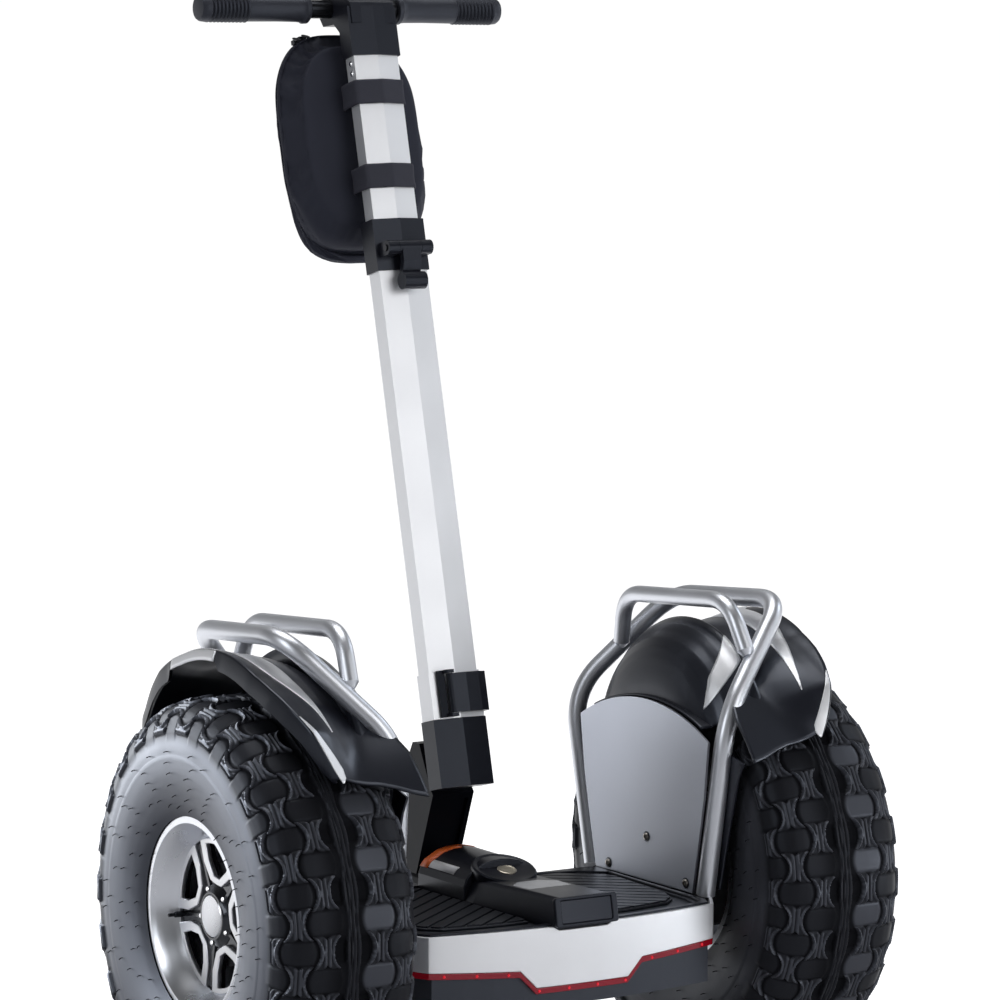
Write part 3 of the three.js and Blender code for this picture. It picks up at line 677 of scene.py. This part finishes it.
# The fender's radius by x, then by degrees its swell and the x of its outer and inner edges.
# Degrees run from the rear horizontal over the top.
FENDER_RHO = [(214, 160), (232, 166), (250, 175), (268, 186), (284, 196), (300, 202), (318, 206),
        (332, 208), (346, 211), (358, 214.5), (366, 216)]
FENDER_SWELL = [(20, 7), (25, 10), (32, 15), (40, 18), (49, 11), (58, 4), (66, 0), (110, 0),
        (127, 6), (135, 4), (143, 0)]
FENDER_EDGE = [(22, 312), (26, 318), (32, 330), (40, 342), (49, 352), (58, 359), (70, 364),
        (83, 366), (97, 367), (120, 369), (150, 366), (158, 360)]
FENDER_INNER = [(12, 214), (30, 216), (40, 226), (50, 246), (58, 262), (70, 266)]
TYRE_ROOM = 256.0


def between(table, value):
    return float(np.interp(value, [row[0] for row in table], [row[1] for row in table]))


def fender_point(x, degrees, lift=0.0):
    swell = between(FENDER_SWELL, degrees) * float(smooth_step(262, 342, x))
    rho = between(FENDER_RHO, x) + swell + lift
    turn = radians(degrees)
    y, z = -rho * cos(turn), FENDER_Z - AXLE_Z + rho * sin(turn)
    reach = hypot(y, z)
    room = TYRE_ROOM + lift
    kept = room + 5 * log1p(exp((reach - room) / 5))
    return (x, y * kept / reach, AXLE_Z + z * kept / reach)


DOME_Z = 365.0
ARCH_RADIUS = 286.0
ARCH_TOP = 442.0
# The dome's radius by x.
DOME_RHO = [(207, 58), (207.6, 76), (209, 94), (211.5, 108), (216, 123), (222, 135.5),
        (230, 146), (238.5, 153), (243, 157.5), (248, 162), (256, 166.5), (263, 169),
        (267, 168)]


def dome_point(x, degrees, lift=0.0):
    rho = between(DOME_RHO, x) + lift
    turn = radians(degrees)
    return (x - lift * 0.4, -rho * cos(turn), DOME_Z + rho * sin(turn))


def dome_start(degrees):
    """Where the dome's surface clears the arch of the side panel below it."""
    low, high = 207.0, 262.0
    for _ in range(16):
        middle = (low + high) / 2
        _, y, z = dome_point(middle, degrees)
        if z > ARCH_TOP - ARCH_RADIUS + sqrt((ARCH_RADIUS + 3) ** 2 - y ** 2):
            high = middle
        else:
            low = middle
    return high


def skin(name, rows, thick, finish, body="chassis", side=1, sharp=50, **how):
    """An open surface over rows of points, thickened inwards. Rows drawn for the right side
    are turned round on the left one, where put mirrors them."""
    points = [p for row in rows for p in row[::side]]
    faces = grid_faces(len(rows), len(rows[0]))
    made = piece(name, points, faces, finish, body, tidy=False, sharp=sharp, **how)
    assign(made.modifiers.new("wall", "SOLIDIFY"), thickness=thick * MM, offset=-1)


def patch(name, point_at, left, right, steps, thick, flip, side):
    """A trim piece lying on a surface, between two lists of (degrees, x) edges."""
    rows = []
    low, high = left[0][0], left[-1][0]
    for k in range(steps + 1):
        degrees = low + (high - low) * k / steps
        a, b = between(left, degrees), between(right, degrees)
        rows.append([point_at(a + (b - a) * i / 8, degrees, 0.9) for i in range(9)])
    skin(name, rows, thick, SATIN, side=side, put=flip)


def fender_end(x):
    """The angle at which the fender ends: its inner side reaches lower than its outer side."""
    return between([(214, 12), (232, 14.5), (250, 18), (268, 21), (290, 23.5), (312, 26)], x)


def flank_depth(degrees):
    """How deep the fender's side hangs below its crown's edge. It is cut away near the top."""
    return between([(22, 4), (26, 8), (32, 15), (40, 20), (50, 22), (86, 21), (88, 12), (118, 12),
            (120, 22), (158, 12)], degrees)


for hand, side in SIDES:
    flip = mirror(side)
    rows = []
    trim_rows = []
    for step in range(97):
        share = step / 96
        edge = between(FENDER_EDGE, 26 + 131.5 * share)
        row = []
        around = 12 + 156 * share
        near = between(FENDER_INNER, around)
        for k in range(35):
            x = near + (edge - near) * k / 34
            first = fender_end(x)
            degrees = first + (180 - 2 * first) * share
            row.append(fender_point(x, degrees))
        last = Vector(row[-1])
        middle = Vector((0, 0, AXLE_Z))
        down = (middle - Vector((0, last.y, last.z))).normalized()
        depth = min(flank_depth(degrees), hypot(last.y, last.z - AXLE_Z) - 250)
        for drop, out in ((0.03, 0.8), (0.10, 1.5), (0.35, 2.6), (0.65, 3.8), (1.0, 4.5)):
            row.append(last + down * depth * drop + Vector((out, 0, 0)))
        if 88 < degrees < 118:
            trim_rows.append([p + Vector((1.0, 0, 0)) for p in row[-5:]])
        row.append(row[-1] + Vector((-4, 0, 0)))
        rows.append(row)
    skin(f"{hand}_blade_flank", trim_rows, 1.2, SATIN, side=side, put=flip)
    skin(f"{hand}_fender_shell", rows, 3.0, GLOSS, side=side, put=flip, sharp=60,
         replaces=[f"{hand}_fender"])

    for end, toward in (("rear", 1), ("front", -1)):
        border = [(-174, 386), (-163, 366), (-156, 342), (-149, 317), (-139, 281), (-127, 232)]
        inner = [(-96, 232), (-100, 281), (-106, 317), (-112, 342), (-118, 366), (-122, 400)]
        outline = [(y * toward, z) for y, z in border + inner]
        prism(f"{hand}_fender_wall_{end}", outline, "X", 220.5, 224, GLOSS,
              put=flip, bevel=1.2)

    rows = []
    for degrees in np.linspace(26, 154, 82):
        start = dome_start(degrees)
        row = []
        _, y, z = dome_point(start, degrees)
        for k in range(6):
            row.append((202.5 + (start - 202.5) * k / 6, y, z))
        for k in range(41):
            row.append(dome_point(start + (267 - start) * (k / 40) ** 1.15, degrees))
        for drop in (4, 12, 24):
            x, y, z = row[46]
            scale = 1 - drop / 168
            row.append((x + 1.5, y * scale, DOME_Z + (z - DOME_Z) * scale))
        rows.append(row)
    skin(f"{hand}_dome_cover", rows, 3, GLOSS, side=side, put=flip, sharp=55,
         replaces=[f"{hand}_inner_cover"])

    patch(f"{hand}_blade_inner", dome_point,
          [(37, 216), (44, 221), (50, 227), (59, 249), (66, 264)],
          [(37, 217), (44, 240), (50, 262), (59, 265.5), (66, 266.5)],
          24, 1.4, flip, side)
    patch(f"{hand}_blade_crescent", fender_point,
          [(41, 309), (50, 311), (60, 314), (72, 317), (90, 321), (108, 322), (121, 326)],
          [(41, 310), (50, 318), (60, 331), (72, 345), (95, 354), (98, 366), (118, 367),
           (121, 352)], 48, 1.2, flip, side)
    patch(f"{hand}_blade_tip", fender_point,
          [(24.5, 313), (26, 309), (29, 310), (34, 321), (38, 330), (42, 339), (45.5, 346.5)],
          [(24.5, 314.5), (26, 317.5), (29, 323.5), (34, 332), (38, 338), (42, 343.5),
           (45.5, 347.5)], 24, 1.2, flip, side)


# ---- side panels

def arch_line(radius, half_width, steps):
    half = asin(half_width / radius)
    low = ARCH_TOP - ARCH_RADIUS
    turns = [half * (1 - 2 * k / steps) for k in range(steps + 1)]
    return [(radius * sin(t), low + radius * cos(t)) for t in turns]


PANEL_OUTLINE = ([(-106, 226.5), (102, 226.5), (115, 280), (128, 340)]
        + arch_line(ARCH_RADIUS, 137, 40) + [(-129, 340), (-117, 280)])

for hand, side in SIDES:
    flip = mirror(side)
    prism(f"{hand}_side_panel_face", PANEL_OUTLINE, "X", 197, 200, PANEL,
          put=flip, bevel=0.9, sharp=35, replaces=[f"{hand}_side_panel"])
    for k, (y, z) in enumerate(((-9, 279), (73, 235), (-92, 237))):
        at = (0, y, z)
        lathe(f"{hand}_panel_screw_{k + 1}", [(198, 0), (198, 4.8), (196.2, 4.8),
              (194.6, 3.9), (194.2, 2.2), (195.8, 2.0), (195.8, 0)], "X", at, SCREW,
              sides=32, put=flip)
        lathe(f"{hand}_panel_washer_{k + 1}", [(197.4, 4), (197.4, 6.2), (196.4, 6.2),
              (196.4, 4)], "X", at, BAR, sides=32, put=flip)


# ---- deck and rear panel

BOW_RADIUS = 861.4
BOW_CENTRE_Y = 679.1
# The rear panel's lower edge as (x, z).
LIGHT_LINE = [(-240, 187.6), (-188.6, 184.8), (-80.6, 178.5), (-60.4, 158), (60.4, 158),
        (80.6, 178.5), (188.6, 184.8), (240, 187.6)]


def rear_edge(inset, step=8.0):
    """The deck's rear edge in plan, from the left wing to the right one."""
    stations = sorted(set(list(np.arange(-184, 185, step)) + [-80.6, -60.4, 60.4, 80.6]))
    bow = [(x, BOW_CENTRE_Y - sqrt((BOW_RADIUS - inset) ** 2 - x * x)) for x in stations]
    corner = 188.6 - inset * 0.6
    wing = (222 - inset, -108 + inset * 0.2)
    right = [(corner, -161.0 + inset), (corner + 3, -157.5 + inset), wing]
    return [(-x, y) for x, y in right[::-1]] + bow + right


def both_halves(half):
    """An outline from its right half and the mirror image of that."""
    return half + [(-x, y) for x, y in half[::-1]]


def edge_band(name, outer, inner, low, high, finish, **how):
    """A wall that follows the rear edge, between two heights that depend on x."""
    sections = []
    for (x, y), (u, v) in zip(rear_edge(outer), rear_edge(inner)):
        bottom, top = low(x), high(x)
        sections.append([(x, y, bottom), (x, y, top), (u, v, top), (u, v, bottom)])
    return loft(name, sections, finish, **how)


def light_line(x):
    return between(LIGHT_LINE, x)


edge_band("rear_panel_skin", 0, 4, light_line, lambda x: 225.0 if abs(x) > 36 else 220.5, SATIN,
        sharp=12, bevel=0.8, replaces=["rear_panel"])
edge_band("light_strip_lens", 0.6, 4, lambda x: light_line(x) - 7.2,
        lambda x: light_line(x) - 0.4, RED, sharp=25, bevel=0.7, replaces=["rear_light_strip"])
for k in range(12):
    x = -209 + 38 * k
    edge = rear_edge(0.2, 2.0)
    y = between(edge, x)
    z = light_line(x) - 3.8
    lathe(f"strip_light_{k + 1}", [(0.8, 0), (0.8, 1.8), (-0.2, 1.5), (-0.7, 0.8), (-0.8, 0)],
          "Y", (x, y, z), GLOW, sides=16)

deck_line = rear_edge(4.6)[3:-3]
deck_rim = deck_line + both_halves([(192, -140), (193, 92), (184, 101)])
deck_hole = ([(x * 0.975, y + 9.5) for x, y in deck_line]
        + both_halves([(186, -118), (188, 60), (160, 82), (110, 97), (56, 99)]))
plate("deck_trim", [deck_rim, deck_hole], 5.6, 1.2, Matrix.Translation((0, 0, 224.2)), MATTE)
step_hole = ([(x * 0.95, y + 15) for x, y in deck_line]
        + both_halves([(183, -112), (184, 56), (156, 78), (108, 93), (52, 95)]))
plate("deck_step", [[(x * 0.99, y + 1) for x, y in deck_rim], step_hole], 2.6, 0.6,
      Matrix.Translation((0, 0, 222.6)), CASE)

MAT_OUTLINE = [(44, -136), (100, -133), (150, -124), (167, -109), (177, -84), (185, 38),
        (176, 62), (158, 76), (138, 88), (108, 92), (53, 94)]
RIB_RUN = Vector((-0.78, 0.626, 0)).normalized()
RIB_PITCH = 17.5
RIB_WIDTH = 13.6
RIB_REACH = 220
RIB_FOOT, RIB_TOP = 223.8, 226.3


def clip_polygon(shape, clip):
    """The part of a polygon inside a convex one whose corners run anticlockwise."""
    for (ax, ay), (bx, by) in zip(clip, clip[1:] + clip[:1]):
        def depth(p):
            return (bx - ax) * (p[1] - ay) - (by - ay) * (p[0] - ax)
        kept = []
        for here, after in zip(shape, shape[1:] + shape[:1]):
            d0, d1 = depth(here), depth(after)
            if d0 >= 0:
                kept.append(here)
            if d0 * d1 < 0:
                t = d0 / (d0 - d1)
                kept.append((here[0] + (after[0] - here[0]) * t,
                        here[1] + (after[1] - here[1]) * t))
        shape = kept
        if not shape:
            break
    return shape


def shrink(outline, by):
    cx = sum(p[0] for p in outline) / len(outline)
    cy = sum(p[1] for p in outline) / len(outline)
    return [(x + (cx - x) * by / hypot(x - cx, y - cy),
            y + (cy - y) * by / hypot(x - cx, y - cy)) for x, y in outline]


for hand, side in SIDES:
    flip = mirror(side)
    prism(f"{hand}_mat_base", MAT_OUTLINE, "Z", 221.3, 224.4, MAT, put=flip,
          bevel=1.2, replaces=[f"{hand}_foot_mat"])
    inside_edge = shrink(MAT_OUTLINE, 3)
    across = Vector((-RIB_RUN.y, RIB_RUN.x, 0))
    rib_points, rib_faces = [], []
    for k in range(-14, 15):
        middle = Vector((115, -20, 0)) + across * (RIB_PITCH * k)
        corners = [middle + RIB_RUN * (a * RIB_REACH) + across * (b * RIB_WIDTH / 2)
                for a, b in ((-1, 1), (1, 1), (1, -1), (-1, -1))]
        shape = clip_polygon([(c.x, c.y) for c in corners], inside_edge)
        if len(shape) < 3:
            continue
        joined(rib_points, rib_faces, lofted([[(x, y, z) for x, y in shape]
                for z in (RIB_FOOT, RIB_TOP)]))
    piece(f"{hand}_mat_ribs", rib_points, rib_faces, MAT, put=flip, bevel=0.8)


# ---- pivot housing and lamp

ARCH_HALF = [(50, 221.6), (50, 242), (47, 250), (41, 257), (24, 266.6), (12, 269.4)]
ARCH = [(-x, z) for x, z in ARCH_HALF] + [(0, 270.2)] + ARCH_HALF[::-1]
prism("housing_tunnel", ARCH, "Y", -4, 101, MATTE, bevel=1.5, sharp=20,
      replaces=["pivot_housing"])


def tail_section(y, foot, top, height):
    half = [(foot, 221.6), (foot, 226), (top + 1.5, height - 7), (top, height - 3),
            (top - 4, height)]
    return [(x, y, z) for x, z in both_halves(half)]


TAIL_STATIONS = ((-181, 39.5, 35.5, 257.2), (-120, 41, 36, 255.5), (-60, 44, 37, 253),
        (-20, 48, 38, 251), (10, 49.5, 38, 249))
loft("housing_tail", [tail_section(*station) for station in TAIL_STATIONS], MATTE, bevel=1.4,
     sharp=22)
DIAL_TILT = radians(15.5)
DIAL_CENTRE = Vector((0, -11, 261.5))
DIAL_TURN = Matrix.Rotation(DIAL_TILT, 3, "X")


def on_dial(p):
    return DIAL_CENTRE + DIAL_TURN @ Vector(p)


lathe("housing_dial", [(-36, 30), (-30, 37), (-6, 38.6), (-1.6, 38.2), (0.2, 36.4), (0, 34),
      (-1.4, 30), (-2.2, 20), (-2.4, 0), (-36, 0)], "Z", (0, 0, 0), MATTE, sides=96,
      put=on_dial, sharp=30)
lathe("housing_badge", [(-3, 0), (-3, 11.4), (-1.4, 11.4), (-1.0, 10.4), (-1.3, 9.6),
      (-1.2, 5), (-1.1, 0)], "Z", (2, -3, 0), BADGE, sides=48, put=on_dial)
prism("housing_pale_panel", both_halves([(27, -171), (30, -78), (14, -62)]), "Z", 253.6, 256.6,
      PALE, bevel=0.8, put=lambda p: (p[0], p[1], p[2] - (p[1] + 170) * 0.025))


def arch_stripe(name, points, low, high, finish):
    rows = [[(x, y, z) for x, z in points] for y in (low, high)]
    skin(name, rows, 0.8, finish, sharp=40)


def arch_grown(first, last, grow):
    return [(x * (1 + grow / 50), z + grow) for x, z in ARCH[first:last + 1]]


arch_stripe("arch_orange_stripe", arch_grown(2, 6, 0.5), 84, 101.2, ORANGE)
arch_stripe("arch_orange_line", arch_grown(6, 10, 0.5), 97.5, 101.2, ORANGE)
for name, corners in (("left", (2, 3, 5)), ("right", (10, 9, 7))):
    low, bend, high = (Vector(ARCH[k]) for k in corners)
    line = [low.lerp(bend, 0.15), bend, bend.lerp(high, 0.12)]
    arch_stripe(f"arch_white_stripe_{name}", [(p.x * 1.01, p.y + 0.7) for p in line], 26, 83,
            WHITE)

LAMP_TURN = Matrix.Translation((0, -184.6, 241.5)) @ Matrix.Rotation(radians(79), 4, "X")


def rounded_box(half_u, half_v, radius, steps=5):
    corners = ((half_u - radius, half_v - radius, 0), (radius - half_u, half_v - radius, 90),
            (radius - half_u, radius - half_v, 180), (half_u - radius, radius - half_v, 270))
    return [(u + radius * cos(radians(a + 90 * k / steps)),
            v + radius * sin(radians(a + 90 * k / steps)))
            for u, v, a in corners for k in range(steps + 1)]


plate("lamp_frame", [rounded_box(41, 16.5, 3.5), rounded_box(33.5, 13, 1.5)], 6, 1.1,
      LAMP_TURN @ Matrix.Translation((0, -0.5, 1.0)), MATTE)
plate("lamp_lens_glass", [rounded_box(33.2, 12.7, 1.5)], 4, 0.5,
      LAMP_TURN @ Matrix.Translation((0, -0.5, 0.8)), LAMP, replaces=["tail_lamp"])

# ---- upper column

BAR_AT = (0, 37.3, 934.9)

for k, height in enumerate((846, 858)):
    lathe(f"tube_rivet_{k + 1}", [(-29, 0), (-29, 3.4), (-30.6, 3.2), (-31.4, 2.2), (-31.7, 0)],
          "X", (0, -1, height), CHROME, sides=24, **ON_MAST)

GRIP_SHAPE = ([(60, 11.4), (60, 16.4), (61, 17.4), (66, 17.6), (68, 16.2), (74, 15.5),
        (100, 15.2), (138, 15.6)]
        + [(142 + 1.25 * k, 15.6 + 1.4 * sin(pi * k / 2)) for k in range(42)]
        + [(197, 16.4), (202, 15.8), (204.6, 14.0), (205.4, 9), (205.4, 0), (200, 0),
        (200, 11.4)])
for hand, side in SIDES:
    lathe(f"{hand}_grip_sleeve", GRIP_SHAPE, "X", BAR_AT, GRIP, "mast", sides=72,
          put=lambda p, s=side: on_column((s * p[0], p[1], p[2])), sharp=35,
          replaces=[f"{hand}_grip"])

lathe("console_post", [(940, 0), (940, 13), (960, 13), (961, 12), (973, 12), (973, 0)], "Z",
      (0, 38, 0), CHROME, sides=48, **ON_MAST)
lathe("console_pod", [(970.5, 0), (970.5, 24), (973, 31), (979, 35.6), (986, 36.6), (991, 35.8),
      (994, 33.4), (994, 31), (992.6, 30.4), (992.6, 0)], "Z", (0, 38, 0), MATTE,
      sides=96, **ON_MAST, replaces=["display_console"])
lathe("console_glass", [(992, 0), (992, 29), (993.4, 29), (993.8, 27), (993.9, 0)], "Z",
      (0, 38, 0), LAMP, sides=72, **ON_MAST)

STRAP_PATH = [(-27, 27), (-31.9, 24), (-32.4, 8), (-32.0, -8.4), (-30.4, -11.2), (0, -16.9),
        (30.4, -11.2), (32.0, -8.4), (32.4, 8), (31.9, 24), (27, 27)]


def spread_line(points, step):
    """Points evenly spaced along a line of corners."""
    line = [Vector((*p, 0)) for p in points]
    reach = np.cumsum([0] + [(b - a).length for a, b in zip(line, line[1:])])
    wanted = np.linspace(0, reach[-1], int(reach[-1] / step))
    return [(float(np.interp(w, reach, [p.x for p in line])),
            float(np.interp(w, reach, [p.y for p in line]))) for w in wanted]


for name, low in (("lower", 705), ("upper", 807)):
    rows = []
    for u, v in spread_line(STRAP_PATH, 1.6):
        row = []
        for k in range(15):
            height = low + 29 * k / 14
            hem = 0.35 if k in (1, 2, 12, 13) else 0.0
            sag = 0.5 * rough_noise.noise(Vector((u * 0.08, v * 0.08, height * 0.12)))
            grow = 1 + (hem + sag) / 34
            row.append((u * grow, v * grow, height + 0.4 * sag))
        rows.append(row)
    skin(f"{name}_strap_band", rows, 1.3, WEBBING, **ON_MAST,
         replaces=[f"{name}_strap"])

# ---- bag

BAG_MIDDLE = 777
BAG_WIDE = 93.5
BAG_TALL = 134.0
# (y, scale of the outline), from the bag's back to its front
BAG_SHAPE = [(27, 0.02), (27, 0.35), (27, 0.66), (27.6, 0.78), (30, 0.85), (35, 0.90),
        (42, 0.935), (50, 0.962), (58, 0.982), (64, 0.99), (69, 0.99), (75, 1.005),
        (83, 1.012), (92, 0.99), (100, 0.935), (107, 0.85), (112, 0.73), (115, 0.54),
        (116, 0.28), (116, 0.02)]
BAG_BACK = 27
BAG_SEAM = 64
BAG_SHIFT = -7.5


def bag_rim(turn, scale):
    """Where the bag's outline is at an angle round its front view."""
    c, s = cos(turn), sin(turn)
    power = 2 / (3.3 if s > 0 else 3.6)
    x = BAG_WIDE * copysign(abs(c) ** power, c)
    z = BAG_TALL * copysign(abs(s) ** power, s)
    narrow = 1 - 0.05 * smooth_step(60, 130, z) - 0.08 * smooth_step(-40, -136, z)
    return x * scale * float(narrow) + BAG_SHIFT, BAG_MIDDLE + z * scale


def bag_mesh(round_count, deep_count):
    sections = []
    for station in np.linspace(0, len(BAG_SHAPE) - 1, deep_count):
        y, scale = (float(np.interp(station, range(len(BAG_SHAPE)), values))
                for values in zip(*BAG_SHAPE))
        rim = [bag_rim(tau * (k + 0.5) / round_count, scale) for k in range(round_count)]
        sections.append([(x, y, z) for x, z in rim])
    return lofted(sections)


def fill_with_air(cloth_piece, held, frames=16):
    """Lets the cloth settle round what fills it, held where held() says, and keeps the shape."""
    group = cloth_piece.vertex_groups.new(name="held")
    for vertex in cloth_piece.data.vertices:
        group.add([vertex.index], held[vertex.index], "REPLACE")
    cloth = cloth_piece.modifiers.new("cloth", "CLOTH")
    assign(cloth.settings, quality=6, mass=0.25, tension_stiffness=12, compression_stiffness=6,
           shear_stiffness=5, bending_stiffness=0.6, air_damping=4, vertex_group_mass="held",
           pin_stiffness=1, use_pressure=True, uniform_pressure_force=3.6, shrink_min=-0.02)
    for clock in (scene, cloth.point_cache):
        assign(clock, frame_start=1, frame_end=frames)
    for number in range(1, frames + 1):
        scene.frame_set(number)
    ready = cloth_piece.evaluated_get(bpy.context.evaluated_depsgraph_get())
    settled = [v.co.copy() for v in ready.data.vertices]
    cloth_piece.modifiers.remove(cloth)
    scene.frame_set(1)
    for vertex, spot in zip(cloth_piece.data.vertices, settled):
        vertex.co = spot
    cloth_piece.data.update()


bag_points, bag_faces = bag_mesh(144, 58)
bag = piece("bag_body", bag_points, bag_faces, FABRIC, sharp=80, **ON_MAST,
        replaces=["bag"])
back = on_column((0, BAG_BACK, BAG_MIDDLE))
away = COLUMN_TURN @ Vector((0, 1, 0))
held = []
for vertex in bag.data.vertices:
    spot = Vector((vertex.co.x * 1000, (vertex.co.y - AXLE_Y) * 1000, vertex.co.z * 1000))
    depth = (spot - back).dot(away)
    near_seam = exp(-((depth - BAG_SEAM + BAG_BACK) / 4) ** 2)
    near_back = 1.0 if depth < 2.5 else 0.0
    held.append(max(near_seam, near_back))
bag.parent = None
fill_with_air(bag, held)
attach(bag, "mast")

for name, (depth, radius) in {"rear": (60.5, 1.3), "front": (69.5, 1.2)}.items():
    line = [bag_rim(tau * k / 160, 0.978) for k in range(160)]
    line.append(line[0])
    tube(f"bag_piping_{name}", [(x, depth, z) for x, z in line], radius, FABRIC, sides=8,
         caps=False, **ON_MAST)
tooth_points, tooth_faces = [], []
for k in range(120):
    turn = radians(40 + 100 * k / 119)
    x, z = bag_rim(turn, 0.984)
    u, w = bag_rim(turn + 0.004, 0.984)
    run = Vector((u - x, 0, w - z)).normalized()
    out = Vector((-run.z, 0, run.x)) * -1
    middle = Vector((x, 65.3, z))
    corners = ((-0.6, -2), (0.6, -2), (0.6, 2), (-0.6, 2))
    joined(tooth_points, tooth_faces, lofted([
        [middle + run * a + Vector((0, b, 0)) + out * lift for a, b in corners]
        for lift in (-0.3, 0.7)]))
piece("bag_zip_teeth", tooth_points, tooth_faces, FABRIC, **ON_MAST)
for name, degrees, swing in (("left", 118, -0.5), ("right", 112, 0.4)):
    x, z = bag_rim(radians(degrees), 0.99)
    outline = [(x - 5, 61), (x + 5, 61), (x + 5, 70), (x - 5, 70)]
    prism(f"zip_slider_{name}", outline, "Z", z - 2, z + 4, BAR, bevel=1, **ON_MAST)
    loop = [(x + 6 * swing + 3 * cos(a), 58 - 7 * sin(a), z + 3 - 3 * sin(a))
            for a in (tau * k / 24 for k in range(25))]
    tube(f"zip_pull_{name}", loop, 1.1, BAR, sides=8, caps=False, **ON_MAST)


# ---- camera, light and floor

def look(thing, eye, forward):
    thing.location = eye
    thing.rotation_euler = Vector(forward).to_track_quat("-Z", "Y").to_euler()


CAMERA_YAW = radians(31.28)
CAMERA_PITCH = radians(5.55)
CAMERA_AHEAD = Vector((sin(CAMERA_YAW), cos(CAMERA_YAW), 0))
camera_data = bpy.data.cameras.new("camera")
assign(camera_data, lens=150.4, sensor_width=36)
camera = add_object("camera", camera_data)
look(camera, place((-2470, -4067, 1148)),
     CAMERA_AHEAD * cos(CAMERA_PITCH) - Vector((0, 0, sin(CAMERA_PITCH))))
scene.camera = camera


COOL = (0.94, 0.97, 1.0)
WHITE_LIGHT = (1, 1, 1)


def softbox(name, eye, target, width, height, power, colour=COOL):
    light = bpy.data.lights.new(name, "AREA")
    assign(light, shape="RECTANGLE", size=width, size_y=height, energy=power, color=colour)
    lamp = add_object(name, light)
    look(lamp, eye, Vector(target) - Vector(eye))
    return lamp


wheel_light = softbox("wheel softbox", (-1.85, 2.2, 0.75), (-0.35, 0, 0.3), 3.2, 2.4, 195,
        (0.90, 0.94, 1.0))
lit = bpy.data.collections.new("left tyre and side panels")
wheel_light.light_linking.receiver_collection = lit
for thing in bpy.data.objects:
    finishes = {slot.material for slot in thing.material_slots}
    if PANEL in finishes or SIDEWALL in finishes and thing.name.startswith("left"):
        lit.objects.link(thing)
softbox("left softbox", (-3.2, -0.9, 1.7), (0, 0, 0.5), 1.0, 2.2, 26)
softbox("right softbox", (2.9, -1.2, 1.8), (0, 0, 0.5), 2.8, 2.0, 11)
softbox("high right softbox", (2.9, -0.2, 2.3), (0.3, 0, 0.5), 0.9, 0.9, 7, (0.80, 0.88, 1.0))
softbox("top softbox", (0, 0.4, 3.2), (0, 0, 0.5), 2.2, 1.6, 38, WHITE_LIGHT)
softbox("rear right softbox", (1.0, -3.3, 1.35), (0, 0, 1.0), 1.7, 3.3, 37, WHITE_LIGHT)
softbox("low right softbox", (1.75, -1.5, 0.22), (0.25, -0.3, 0.3), 0.7, 0.4, 6)

world = bpy.data.worlds.new("studio")
scene.world = world
world.use_nodes = True
tree = world.node_tree
where = add_node(tree, "TexCoord", {}, "Generated")
ahead = add_node(tree, "VectorMath", {0: where, 1: CAMERA_AHEAD}, "Value", operation="DOT_PRODUCT")
up = add_node(tree, "SeparateXYZ", {"Vector": where}, "Z")
seen = add_node(tree, "LightPath", {}, "Is Camera Ray")
strength = map_range(tree, ahead, -0.4, 0.95, 0.30, 1.02)
for factor in (map_range(tree, up, 0.12, 0.5, 1.0, 0.30),
        map_range(tree, seen, 0, 1, 0.52, 1.0, smooth=False)):
    strength = multiplied(tree, strength, factor)
feed(tree, tree.nodes["Background"], {"Strength": strength, "Color": (1, 1, 1, 1)})

FLOOR_REACH = 30
FLOOR_Z = -0.002
floor_mesh = bpy.data.meshes.new("floor")
floor_mesh.from_pydata([(x * FLOOR_REACH, y * FLOOR_REACH, FLOOR_Z)
        for x, y in ((-1, -1), (1, -1), (1, 1), (-1, 1))], [], [(0, 1, 2, 3)])
floor = add_object("floor", floor_mesh)
paper = bpy.data.materials.new("floor paper")
paper.use_nodes = True
tree = paper.node_tree
where = add_node(tree, "TexCoord", {}, "Object")
ahead = add_node(tree, "VectorMath", {0: where, 1: CAMERA_AHEAD}, "Value", operation="DOT_PRODUCT")
feed(tree, tree.nodes["Principled BSDF"], {
    "Base Color": (0.62, 0.62, 0.64, 1), "Roughness": 0.9, "Emission Color": (1, 1, 1, 1),
    "Emission Strength": map_range(tree, ahead, 0.12, 0.38, 0.05, 1.0)})
floor_mesh.materials.append(paper)

scene.view_settings.view_transform = "Standard"
